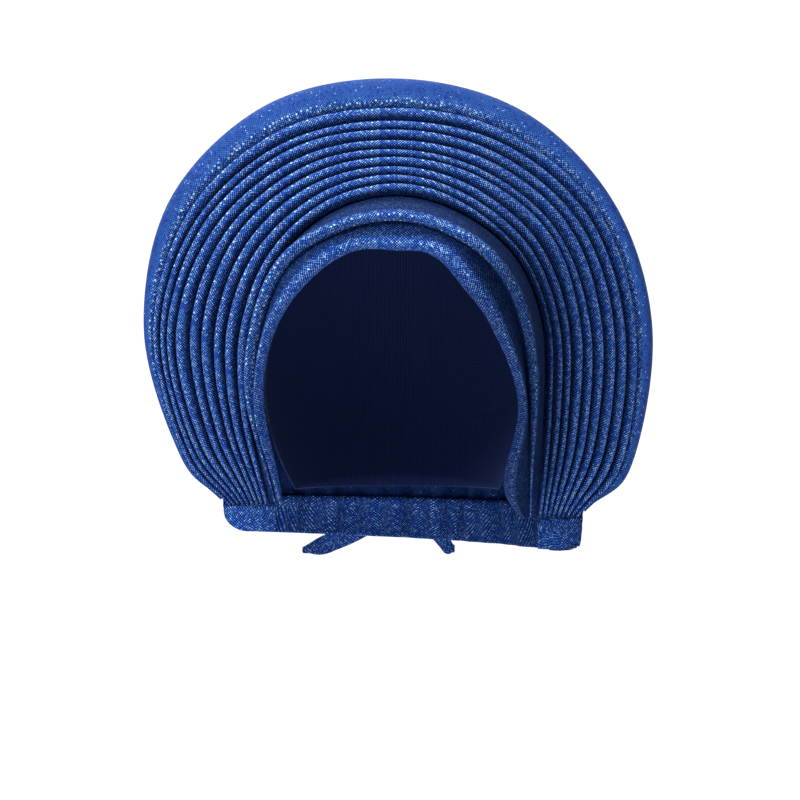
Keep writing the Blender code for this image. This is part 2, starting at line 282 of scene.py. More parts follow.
@dataclass(frozen=True)
class FoldLayout:
    """Places of the gathers and of every fold line, shared by all the cloth pieces.

    Attributes:
        head: Head that the cap is sewn for.
        fan_half: Half the fan's width.
        fan_drop: Depth of the fan's centre below the crown seat.
        gather_left: Depth of the left gather.
        gather_right: Depth of the right gather.
        gather_back: How far both lie behind the crown seat.
        nape_reach: How far the nape ring reaches behind them.
        deepening: Start and length of the stretch over which the folds fall into the shade.
        shallowing: End and length of the stretch over which they come out of it.
        sunrise: Start and length of the stretch over which the crests turn to the light.
        sunset: End and length of the stretch over which they turn away.
    """

    head: HeadForm = field(default_factory=HeadForm)
    fan_half: float = 0.1385
    fan_drop: float = 0.082
    gather_left: float = 0.178
    gather_right: float = 0.185
    gather_back: float = 0.008
    nape_reach: float = 0.080
    deepening: Pair = (0.60, 0.14)
    shallowing: Pair = (1.00, 0.06)
    sunrise: Pair = (0.12, 0.16)
    sunset: Pair = (0.64, 0.14)

    @property
    def centre(self) -> Points:
        """Centre of the fan's circle."""
        return np.array([0.0, 0.0, -self.fan_drop])

    @property
    def face_edge(self) -> Rail:
        """Folded edge round the face."""
        reach = (1.10, 0.845, 0.672, 0.588, 0.518, 0.545, 0.524, 0.643, 0.97)
        return Rail(self.head.half, (-0.83, 0.90), reach, (0.61, 0.58, 0.75), tuck=0.009)

    @property
    def brow_groove(self) -> Rail:
        """Groove between the brow band and the upper fold."""
        reach = (1.15, 0.945, 0.86, 0.755, 0.72, 0.715, 0.77, 0.855, 1.08)
        return Rail(self.head.half, (-0.88, 0.965), reach, (0.55, 0.53, 0.67))

    @property
    def fan_inner(self) -> Rail:
        """Groove between the upper fold and the first pleat."""
        reach = (1.21, 1.012, 0.955, 0.925, 0.915, 0.915, 0.972, 1.04, 1.22)
        return Rail(self.head.half, (-0.93, 1.02), reach, (0.42, 0.41, 0.45))

    @property
    def fan_outer(self) -> Rail:
        """Groove between the last pleat and the broad outer fold."""
        reach = (0.98, 0.96, 0.93, 0.89, 0.85, 0.87, 0.91, 0.94, 1.035)
        return Rail(self.fan_half, (-0.675, 0.72), reach, (0.16, 0.16, 0.16))

    @property
    def outline(self) -> Rail:
        """Outline of the whole head tie."""
        reach = (0.995, 1.00, 1.03, 1.02, 0.985, 0.99, 0.99, 1.01, 1.075)
        return Rail(self.fan_half, (-0.69, 0.737), reach, (0.08, 0.07, 0.08))

    def gather_height(self, along: Points) -> Points:
        """Level of the line between the two gathers."""
        return -self.gather_left + (self.gather_left - self.gather_right) * along

    def line(self, rail: Rail, along: Points) -> Points:
        """Points of a rail.

        Args:
            rail: The rail to follow.
            along: Places along it, from 0 to 1.

        Returns:
            One row for each place.
        """
        controls = [[rail.ends[0] * rail.unit, 0.0, -self.gather_left]]
        for step, share in enumerate(rail.reach):
            angle = math.radians(-120 + 30 * step)
            way = np.array([math.sin(angle), 0.0, math.cos(angle)])
            controls.append(list(self.centre + way * share * rail.unit))
        controls.append([rail.ends[1] * rail.unit, 0.0, -self.gather_right])
        points = spline(np.array(controls), along)
        last_run = np.clip(along * 10 - 9, 0.0, 1.0)
        points[..., 0] -= rail.tuck * np.sin(np.pi * last_run**2)
        left, top, right = rail.lean
        lean = spline(np.array([left, left, top, right, right]), along)
        floor = self.gather_height(along)
        rise = (points[..., 2] - floor) / -floor
        points[..., 1] = self.gather_back - lean * self.head.length * rise
        return points

    def recess(self, along: Points) -> Points:
        """How deep the folds lie in the shade of the fan, which is deepest on the right."""
        return ease(ramp(along, *self.deepening)) * ease(fade(along, *self.shallowing))

    def sunlit(self, along: Points) -> Points:
        """How squarely the crests meet the light, which comes from the upper left."""
        return ease(ramp(along, *self.sunrise)) * ease(fade(along, *self.sunset))

    def facing(self, inner: Rail, outer: Rail, along: Points) -> Points:
        """Directions in which the strip between two rails faces.

        Args:
            inner: Rail at the strip's inner edge.
            outer: Rail at its outer edge.
            along: Places along the strip.

        Returns:
            One unit vector for each place.
        """
        step = 0.0125
        early = np.maximum(along - step, 0.0)
        late = np.minimum(along + step, 1.0)
        before = (self.line(inner, early) + self.line(outer, early)) / 2
        beyond = (self.line(inner, late) + self.line(outer, late)) / 2
        over = self.line(outer, along) - self.line(inner, along)
        return unit(np.cross(beyond - before, over))

    def behind_face_edge(self, along: Points, distance: float, clear: float) -> Points:
        """Points on the head, a distance behind the face edge.

        Args:
            along: Places along the face edge.
            distance: How far behind it.
            clear: Distance to keep from the head's surface.

        Returns:
            One row for each place.
        """
        edge = self.line(self.face_edge, along)
        out = edge - self.centre
        out[..., 1] = 0
        out[..., 2] = np.maximum(out[..., 2], 0)
        step = unit(out) * 0.8 + np.array([0, 0.6, 0])
        return self.head.seat(edge + step * distance, clear)

    def ring(self, along: Points, level: float) -> tuple[Points, Points]:
        """Ring that the drape and the nape band share.

        Args:
            along: Places from the left gather round the nape to the right one.
            level: Height above the gathers.

        Returns:
            The points and the directions straight out from the ring.
        """
        left = self.outline.ends[0] * self.fan_half
        right = self.outline.ends[1] * self.fan_half
        turn = math.pi * along
        across = (left + right) / 2 - (right - left) / 2 * np.cos(turn)
        back = self.gather_back + self.nape_reach * np.sin(turn)
        points = np.stack([across, back, self.gather_height(along) + level], axis=-1)
        out = np.stack([across, back - self.gather_back + 1e-9, np.zeros_like(across)], axis=-1)
        return points, unit(out)


class Sketch:
    """Short hand for wiring a procedural material."""

    def __init__(self, name: str) -> None:
        """Start a material with a single Principled shader.

        Args:
            name: Name of the material.
        """
        self.material = bpy.data.materials.new(name)
        self.material.use_nodes = True
        self.tree = self.material.node_tree
        self.shader = self.tree.nodes["Principled BSDF"]

    def node(self, kind: str, **settings: object) -> bpy.types.Node:
        """Add a node and set its properties.

        Args:
            kind: Type of the node.
            settings: Its properties by name.

        Returns:
            The node.
        """
        made = self.tree.nodes.new(kind)
        for name, value in settings.items():
            setattr(made, name, value)
        return made

    def feed(self, socket: bpy.types.NodeSocket, value: object) -> None:
        """Link a socket to an output, or set it to a plain value.

        Args:
            socket: The input to feed.
            value: An output socket or a plain value.
        """
        if isinstance(value, bpy.types.NodeSocket):
            self.tree.links.new(value, socket)
        else:
            socket.default_value = value

    def math(self, operation: str, *values: object) -> bpy.types.NodeSocket:
        """Math node.

        Args:
            operation: Name of the operation.
            values: Its inputs, sockets or numbers.

        Returns:
            The node's output.
        """
        made = self.node("ShaderNodeMath", operation=operation)
        for socket, value in zip(made.inputs, values):
            self.feed(socket, value)
        return made.outputs[0]

    def span(self, value: object, low: float, high: float) -> bpy.types.NodeSocket:
        """Smooth step of a value.

        Args:
            value: The value, a socket or a number.
            low: Where the step begins.
            high: Where it ends.

        Returns:
            The step, from 0 to 1.
        """
        made = self.node("ShaderNodeMapRange", interpolation_type="SMOOTHSTEP")
        for socket, item in zip(made.inputs, (value, low, high, 0.0, 1.0)):
            self.feed(socket, item)
        return made.outputs[0]

    def mix(self, share: object, first: object, second: object) -> bpy.types.NodeSocket:
        """Number between two numbers.

        Args:
            share: How far to go from the first to the second.
            first: The number at 0.
            second: The number at 1.

        Returns:
            The mixed number.
        """
        made = self.node("ShaderNodeMix", data_type="FLOAT")
        for socket, item in zip((made.inputs[0], made.inputs[2], made.inputs[3]), (share, first, second)):
            self.feed(socket, item)
        return made.outputs[0]

    def blend(self, share: object, first: object, second: object) -> bpy.types.NodeSocket:
        """Colour between two colours.

        Args:
            share: How far to go from the first to the second.
            first: The colour at 0.
            second: The colour at 1.

        Returns:
            The mixed colour.
        """
        made = self.node("ShaderNodeMix", data_type="RGBA")
        self.feed(made.inputs[0], share)
        for socket, item in zip(made.inputs[6:8], (first, second)):
            self.feed(socket, (*item, 1.0) if isinstance(item, tuple) else item)
        return made.outputs[2]

    def wave(self, value: object, pitch: float) -> bpy.types.NodeSocket:
        """Wave from 0 to 1 that repeats every pitch."""
        turned = self.product(value, 2 * math.pi / pitch)
        return self.line(self.math("SINE", turned), 0.5, 0.5)

    def line(self, value: object, slope: float, base: object) -> bpy.types.NodeSocket:
        """Value times a slope, plus a base."""
        return self.math("MULTIPLY_ADD", value, slope, base)

    def product(self, first: object, second: object) -> bpy.types.NodeSocket:
        """Product of two values."""
        return self.math("MULTIPLY", first, second)

    def parts(self, vector: bpy.types.NodeSocket) -> Sequence[bpy.types.NodeSocket]:
        """The parts of a vector or colour.

        Args:
            vector: The vector or colour.

        Returns:
            Its three parts.
        """
        made = self.node("ShaderNodeSeparateXYZ")
        self.feed(made.inputs[0], vector)
        return list(made.outputs)

    def painted(self, name: str) -> bpy.types.NodeSocket:
        """Value that the mesh holds at each point."""
        return self.node("ShaderNodeAttribute", attribute_name=name).outputs["Fac"]

    def cloth_place(self) -> bpy.types.NodeSocket:
        """Place on the cloth, in metres."""
        return self.node("ShaderNodeUVMap", uv_map="weave").outputs[0]

    def mottle(self, scale: float, detail: float) -> bpy.types.NodeSocket:
        """Cloudy noise over the object.

        Args:
            scale: Clouds in a metre.
            detail: Detail of the clouds.

        Returns:
            The noise, from 0 to 1.
        """
        made = self.node("ShaderNodeTexNoise")
        self.feed(made.inputs["Vector"], self.node("ShaderNodeTexCoord").outputs["Object"])
        made.inputs["Scale"].default_value = scale
        made.inputs["Detail"].default_value = detail
        return made.outputs[0]

    def emboss(self, height: bpy.types.NodeSocket, strength: float, distance: float) -> None:
        """Raise the surface by a height pattern.

        Args:
            height: The pattern, from 0 to about 1.
            strength: Strength of the bump.
            distance: Height of its highest points.
        """
        bump = self.node("ShaderNodeBump")
        bump.inputs["Strength"].default_value = strength
        bump.inputs["Distance"].default_value = distance
        self.feed(bump.inputs["Height"], height)
        self.feed(self.shader.inputs["Normal"], bump.outputs[0])

    def surface(self, colour: object, roughness: object, specular: float) -> None:
        """Set what the shader shows.

        Args:
            colour: Its colour.
            roughness: Its roughness.
            specular: Its specular level.
        """
        self.feed(self.shader.inputs["Base Color"], colour)
        self.feed(self.shader.inputs["Roughness"], roughness)
        self.shader.inputs["Specular IOR Level"].default_value = specular


@dataclass(frozen=True)
class WeaveFinish:
    """Stiff figured gele cloth: herringbone floats of light thread with metal glints.

    A pair is the two ends of a smooth step, or the slope and base of a straight line.

    Attributes:
        name: Name of the material.
        ground: Colour of the ground threads.
        floats: Colour of the floating threads.
        pale: Colour of the floats that turn most to the light.
        violet: Colour of the odd float that shows the warp.
        glint: Colour of the metal thread where it catches light.
        bead_glint: Colour of the painted glints of metal thread along a lit crest.
        painted_shade: Colour of the painted shade down in the folds.
        rib_pitch: Distance between floats along the cloth.
        rib_share: How much the slanting floats show over the crossed ones.
        column: Width of one column of slanting floats.
        cross_pitch: Distance between crossed floats.
        float_step: Thread heights between which a float comes into sight.
        calm_floats: Line by which floats show where the cloth lies calm.
        glint_share: Share of the crossed floats that catch the light.
        glint_crest: How many more of them do so on a crest.
        glint_calm: How many fewer do so where the cloth lies calm.
        glint_step: Thread heights between which such a float brightens.
        glint_level: Line from chance to a glint's brightness.
        pearl_pitch: Distance between the bright points along a lit crest.
        pearl_scatter: How far they stray from even rows.
        pearl_step: Distances from its middle between which a point ends.
        pearl_crest: Crest values between which the points appear.
        pearl_chance: Chances between which a point is bright.
        mottle_scale: Clouds in a metre of cloth.
        mottle_detail: Detail of the clouds.
        mottle_step: Cloud values between which the cloth turns light.
        mottle_tone: Line from cloud to lightness.
        thread_tone: Line from chance to a thread's lightness.
        calm_tone: The same where the cloth lies calm.
        crest_tone: Line from crest to lightness, the painted highlight of a lit crest.
        calm_crest_tone: The same where the cloth lies calm.
        turned_step: Chances between which a float turns pale.
        calm_turned: How pale the floats are where the cloth lies calm.
        violet_step: Chances between which a float shows the warp.
        painted_shade_tone: Line from thread height to how far the painted shade darkens it.
        roughness: Line from lightness to roughness.
        glint_polish: How much smoother a glint is.
        glint_metal: How metallic a glint is.
        specular: Specular level of the cloth.
        specular_tint: Colour of its highlights.
        bump: Strength of the relief.
        relief: Height of the floats.
    """

    name: str = "royal_blue_gele_weave"
    ground: Colour = (0.002, 0.012, 0.112)
    floats: Colour = (0.040, 0.180, 0.760)
    pale: Colour = (0.140, 0.370, 0.840)
    violet: Colour = (0.055, 0.120, 0.640)
    glint: Colour = (0.440, 0.680, 0.960)
    bead_glint: Colour = (0.480, 0.820, 1.000)
    painted_shade: Colour = (0.001, 0.003, 0.018)
    rib_pitch: float = 0.00155
    rib_share: float = 0.30
    column: float = 0.0032
    cross_pitch: float = 0.0015
    float_step: Pair = (0.22, 0.90)
    calm_floats: Pair = (0.50, 0.25)
    glint_share: float = 0.19
    glint_crest: float = 0.14
    glint_calm: float = 0.85
    glint_step: Pair = (0.18, 0.60)
    glint_level: Pair = (0.65, 0.35)
    pearl_pitch: float = 0.0030
    pearl_scatter: float = 0.75
    pearl_step: Pair = (0.12, 0.24)
    pearl_crest: Pair = (0.80, 0.94)
    pearl_chance: Pair = (0.05, 0.60)
    mottle_scale: float = 34.0
    mottle_detail: float = 3.0
    mottle_step: Pair = (0.30, 0.72)
    mottle_tone: Pair = (0.18, 0.82)
    thread_tone: Pair = (0.80, 0.46)
    calm_tone: Pair = (0.30, 0.62)
    crest_tone: Pair = (0.55, 1.08)
    calm_crest_tone: Pair = (0.60, 0.76)
    turned_step: Pair = (0.35, 1.00)
    calm_turned: float = 0.45
    violet_step: Pair = (0.70, 0.95)
    painted_shade_tone: Pair = (-0.20, 0.96)
    roughness: Pair = (-0.12, 0.70)
    glint_polish: float = 0.28
    glint_metal: float = 0.40
    specular: float = 0.10
    specular_tint: Colour = (0.25, 0.45, 1.00)
    bump: float = 0.75
    relief: float = 0.00030

    def sparks(
        self,
        sketch: Sketch,
        lattice: bpy.types.NodeSocket,
        crest: bpy.types.NodeSocket,
        calm: bpy.types.NodeSocket,
        draw: Sequence[bpy.types.NodeSocket],
    ) -> bpy.types.NodeSocket:
        """Glints of the crossed floats that catch the light.

        Args:
            sketch: The material.
            lattice: Height of the crossed floats.
            crest: How close to a lit crest the place is.
            calm: How calm the cloth lies there.
            draw: Three chances of the float.

        Returns:
            Brightness of the glint.
        """
        share = sketch.line(crest, self.glint_crest, self.glint_share)
        share = sketch.product(share, sketch.line(calm, -self.glint_calm, 1.0))
        lucky = sketch.math("GREATER_THAN", draw[2], sketch.math("SUBTRACT", 1.0, share))
        dot = sketch.span(lattice, *self.glint_step)
        return sketch.product(lucky, sketch.product(dot, sketch.line(draw[1], *self.glint_level)))

    def beads(
        self, sketch: Sketch, place: bpy.types.NodeSocket, crest: bpy.types.NodeSocket
    ) -> bpy.types.NodeSocket:
        """Painted glints: bright points of metal thread in rows along the lit crests.

        Args:
            sketch: The material.
            place: Place on the cloth.
            crest: How close to a lit crest the place is.

        Returns:
            Brightness of the point.
        """
        cells = sketch.node("ShaderNodeTexVoronoi", voronoi_dimensions="2D")
        sketch.feed(cells.inputs["Vector"], place)
        cells.inputs["Scale"].default_value = 1 / self.pearl_pitch
        cells.inputs["Randomness"].default_value = self.pearl_scatter
        bead = sketch.math("SUBTRACT", 1.0, sketch.span(cells.outputs["Distance"], *self.pearl_step))
        draw = sketch.parts(cells.outputs["Color"])
        row = sketch.product(bead, sketch.span(crest, *self.pearl_crest))
        return sketch.product(row, sketch.span(draw[0], *self.pearl_chance))

    def build(self) -> bpy.types.Material:
        """Wire the material.

        Returns:
            The finished material.
        """
        sketch = Sketch(self.name)
        place = sketch.cloth_place()
        along, across, _ = sketch.parts(place)
        # Painted shade and painted highlight that the mesh holds, and how calm the weave lies
        painted_shade, crest, calm = (sketch.painted(name) for name in ("painted_shade", "crest", "calm"))

        slant = sketch.math("PINGPONG", across, self.column)
        rib = sketch.wave(sketch.math("ADD", along, slant), self.rib_pitch)
        rising = sketch.math("ADD", along, across)
        falling = sketch.math("SUBTRACT", along, across)
        crossing = (sketch.wave(way, self.cross_pitch) for way in (rising, falling))
        lattice = sketch.product(*crossing)
        height = sketch.line(rib, self.rib_share, lattice)
        raised = sketch.span(height, *self.float_step)

        cell = sketch.node("ShaderNodeCombineXYZ")
        for socket, way in zip(cell.inputs, (rising, falling)):
            sketch.feed(socket, sketch.math("FLOOR", sketch.math("DIVIDE", way, self.cross_pitch)))
        chance = sketch.node("ShaderNodeTexWhiteNoise", noise_dimensions="2D")
        sketch.feed(chance.inputs["Vector"], cell.outputs[0])
        dash = chance.outputs["Value"]
        draw = sketch.parts(chance.outputs["Color"])

        share = sketch.mix(calm, raised, sketch.line(raised, *self.calm_floats))
        tones = (sketch.line(dash, *self.thread_tone), sketch.line(dash, *self.calm_tone))
        share = sketch.product(share, sketch.mix(calm, *tones))
        cloud = sketch.span(sketch.mottle(self.mottle_scale, self.mottle_detail), *self.mottle_step)
        share = sketch.product(share, sketch.line(cloud, *self.mottle_tone))
        # Painted highlight: the cloth is lighter on the lit crests
        tones = (sketch.line(crest, *self.crest_tone), sketch.line(crest, *self.calm_crest_tone))
        share = sketch.product(share, sketch.mix(calm, *tones))

        turned = sketch.mix(calm, sketch.span(draw[0], *self.turned_step), self.calm_turned)
        thread = sketch.blend(turned, self.floats, self.pale)
        thread = sketch.blend(sketch.span(draw[1], *self.violet_step), thread, self.violet)
        cloth = sketch.blend(share, self.ground, thread)
        # Painted shade: the colour darkens to the shade colour down in the folds and recesses
        depth = sketch.product(painted_shade, sketch.line(raised, *self.painted_shade_tone))
        cloth = sketch.blend(depth, cloth, self.painted_shade)
        # Share of the cloth that lies out of the painted shade, where glints may show
        unshaded = sketch.math("SUBTRACT", 1.0, painted_shade)
        # Painted highlights: glints of the floats and bright points along the lit crests go into the colour,
        # but not into the painted shade
        spark = sketch.product(self.sparks(sketch, lattice, crest, calm, draw), unshaded)
        cloth = sketch.blend(spark, cloth, self.glint)
        cloth = sketch.blend(sketch.product(self.beads(sketch, place, crest), unshaded), cloth, self.bead_glint)

        rough = sketch.line(spark, -self.glint_polish, sketch.line(share, *self.roughness))
        sketch.surface(cloth, rough, self.specular)
        sketch.feed(sketch.shader.inputs["Metallic"], sketch.product(spark, self.glint_metal))
        sketch.shader.inputs["Specular Tint"].default_value = (*self.specular_tint, 1.0)
        sketch.emboss(height, self.bump, self.relief)
        return sketch.material


@dataclass(frozen=True)
class KnitFinish:
    """Soft stretch knit of the cap.

    Attributes:
        name: Name of the material.
        valley: Colour between the wales.
        wale: Colour on the wales.
        wale_pitch: Distance between wales.
        course_pitch: Distance between courses of loops.
        loop_tone: Slope and base from loop to height along a wale.
        wale_step: Heights between which a wale comes into sight.
        mottle_scale: Clouds in a metre of cloth.
        mottle_detail: Detail of the clouds.
        mottle_tone: Slope and base from cloud to lightness.
        roughness: Roughness of the knit.
        specular: Its specular level.
        bump: Strength of the relief.
        relief: Height of the loops.
    """

    name: str = "navy_cap_knit"
    valley: Colour = (0.004, 0.009, 0.045)
    wale: Colour = (0.010, 0.026, 0.120)
    wale_pitch: float = 0.0016
    course_pitch: float = 0.0013
    loop_tone: Pair = (0.5, 0.5)
    wale_step: Pair = (0.1, 0.8)
    mottle_scale: float = 22.0
    mottle_detail: float = 2.0
    mottle_tone: Pair = (0.5, 0.6)
    roughness: float = 0.82
    specular: float = 0.15
    bump: float = 0.6
    relief: float = 0.0003

    def build(self) -> bpy.types.Material:
        """Wire the material.

        Returns:
            The finished material.
        """
        sketch = Sketch(self.name)
        along, across, _ = sketch.parts(sketch.cloth_place())
        lean = sketch.math("PINGPONG", along, self.wale_pitch / 2)
        loop = sketch.wave(sketch.math("ADD", across, lean), self.course_pitch)
        knit = sketch.product(sketch.wave(along, self.wale_pitch), sketch.line(loop, *self.loop_tone))
        cloud = sketch.line(sketch.mottle(self.mottle_scale, self.mottle_detail), *self.mottle_tone)
        shade = sketch.product(sketch.span(knit, *self.wale_step), cloud)
        sketch.surface(sketch.blend(shade, self.valley, self.wale), self.roughness, self.specular)
        sketch.emboss(knit, self.bump, self.relief)
        return sketch.material


@dataclass
class ClothGrid:
    """Points of one cloth surface with what its finish needs.

    Attributes:
        points: Points of shape (stations, across, 3).
        painted_shade: Painted shade at each point, by how deep in a fold it lies, from 0 to 1.
        crest: How close to a lit crest each point lies, from 0 to 1, for the painted highlight there.
        calm: How smooth the weave lies at each point, from 0 to 1.
        lengths: For each column, the one whose length its weave runs by.
        starts: For each column, the one from which its weave is measured across.
        weave_turn: Whether the weave's columns run across the grid instead of along it.
    """

    points: Points
    painted_shade: Optional[Points] = None
    crest: Optional[Points] = None
    calm: Optional[Points] = None
    lengths: Optional[Points] = None
    starts: Optional[Points] = None
    weave_turn: bool = False

    def weave(self) -> Points:
        """Places on the cloth in metres, from the lengths of the grid's own lines.

        Returns:
            Pairs of shape (stations, across, 2).
        """
        run = np.linalg.norm(np.diff(self.points, axis=0), axis=-1)
        along = np.vstack([np.zeros(run.shape[1]), np.cumsum(run, axis=0)])
        along = along - along[len(along) // 2]
        step = np.linalg.norm(np.diff(self.points, axis=1), axis=-1)
        across = np.hstack([np.zeros((len(step), 1)), np.cumsum(step, axis=1)])
        if self.lengths is not None:
            along = along[:, self.lengths]
        if self.starts is not None:
            across = across - across[:, self.starts]
        pair = (across, along) if self.weave_turn else (along, across)
        return np.stack(pair, axis=-1)


@dataclass
class ClothPiece:
    """Attributes:
        name: Name of the piece.
        node: CAD node that it stands for.
        finish: Material of the piece.
        slot: Material slot in the record.
        hold: How the cloth is held.
        flat: Width and length it was cut to.
        area: Flat area where the cut isn't a rectangle.
        rests_on: What carries it.
        wall: Thickness of the cloth.
    """

    layout: FoldLayout
    finish: bpy.types.Material
    name: str = ""
    node: str = ""
    slot: Slot = Slot.GELE
    hold: Hold = Hold.FOLDED
    flat: Pair = (0.1, 0.1)
    area: Optional[float] = None
    rests_on: tuple[str, ...] = ()
    wall: float = 0.0010

    def grid(self) -> ClothGrid:
        """The piece's seen side."""
        raise NotImplementedError

    def make(self) -> bpy.types.Object:
        """Build the piece and put it on the frame.

        Returns:
            The finished object.
        """
        piece = self.cloth_mesh(self.name, self.grid(), self.wall)
        self.declare(piece, self.node, self.hold, self.flat, self.rests_on, self.area)
        return piece

    def cloth_mesh(
        self, name: str, grid: ClothGrid, wall: float, closed: bool = False
    ) -> bpy.types.Object:
        """Make a cloth of one thickness from a grid.

        Args:
            name: Name of the object.
            grid: The seen side.
            wall: Thickness, laid behind the seen side.
            closed: Whether the grid's first and last stations join.

        Returns:
            The object, linked to the scene.
        """
        stations, across, _ = grid.points.shape
        rows = np.arange(stations if closed else stations - 1)[:, None]
        columns = np.arange(across - 1)[None, :]
        first = (rows * across + columns).ravel()
        second = ((rows + 1) % stations * across + columns).ravel()
        faces = np.stack([first, second, second + 1, first + 1], axis=1)
        mesh = bpy.data.meshes.new(name)
        mesh.from_pydata(grid.points.reshape(-1, 3).tolist(), [], faces.tolist())
        corners = faces.ravel()
        layer = mesh.uv_layers.new(name="weave")
        layer.data.foreach_set("uv", grid.weave().reshape(-1, 2)[corners].astype(np.float32).ravel())
        # The points hold their painted shade, the painted highlight of the crests and the calm of the weave
        for label, values in (("painted_shade", grid.painted_shade), ("crest", grid.crest), ("calm", grid.calm)):
            held = mesh.attributes.new(label, "FLOAT", "POINT")
            filled = np.zeros(stations * across) if values is None else np.clip(values, 0, 1).ravel()
            held.data.foreach_set("value", filled.astype(np.float32))
        mesh.shade_smooth()
        piece = bpy.data.objects.new(name, mesh)
        bpy.context.scene.collection.objects.link(piece)
        if wall:
            solid = piece.modifiers.new("cloth", "SOLIDIFY")
            solid.thickness = wall
            solid.offset = -1.0
            solid.use_even_offset = False
        mesh.materials.append(self.finish)
        return piece

    def declare(
        self,
        piece: bpy.types.Object,
        node: str,
        hold: Hold,
        flat: Pair,
        rests_on: Sequence[str],
        area: Optional[float] = None,
    ) -> None:
        """Put a piece on its body, hide the CAD part that it stands for and log its faces.

        Args:
            piece: The finished object.
            node: CAD node that it stands for.
            hold: How the cloth is held; not used.
            flat: Width and length it was cut to; not used.
            rests_on: What carries it; not used.
            area: Flat area where the cut isn't a rectangle; not used.
        """
        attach(piece, "root")
        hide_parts(node)
        LOG.info("%s: %d faces", piece.name, len(piece.data.polygons))


def strip(
    layout: FoldLayout, inner: Rail, outer: Rail, along: Points, section: Points, height: Points, trim: float
) -> Points:
    """Fold between two rails, shaped by a section.

    Args:
        layout: Places of the fold lines.
        inner: Rail at the fold's inner edge.
        outer: Rail at its outer edge.
        along: Places along the fold.
        section: Rows of (place across, height) as shares.
        height: Height of the fold at each place along.
        trim: Gap left free, half at either edge.

    Returns:
        Points of shape (stations, section rows, 3).
    """
    low = layout.line(inner, along)
    span = layout.line(outer, along) - low
    size = np.linalg.norm(span, axis=-1, keepdims=True)
    inset = trim / 2 / size
    share = inset + section[None, :, 0] * (1 - 2 * inset)
    base = low[:, None, :] + span[:, None, :] * share[..., None]
    normal = layout.facing(inner, outer, along)
    return base + normal[:, None, :] * (section[None, :, 1] * height[:, None])[..., None]


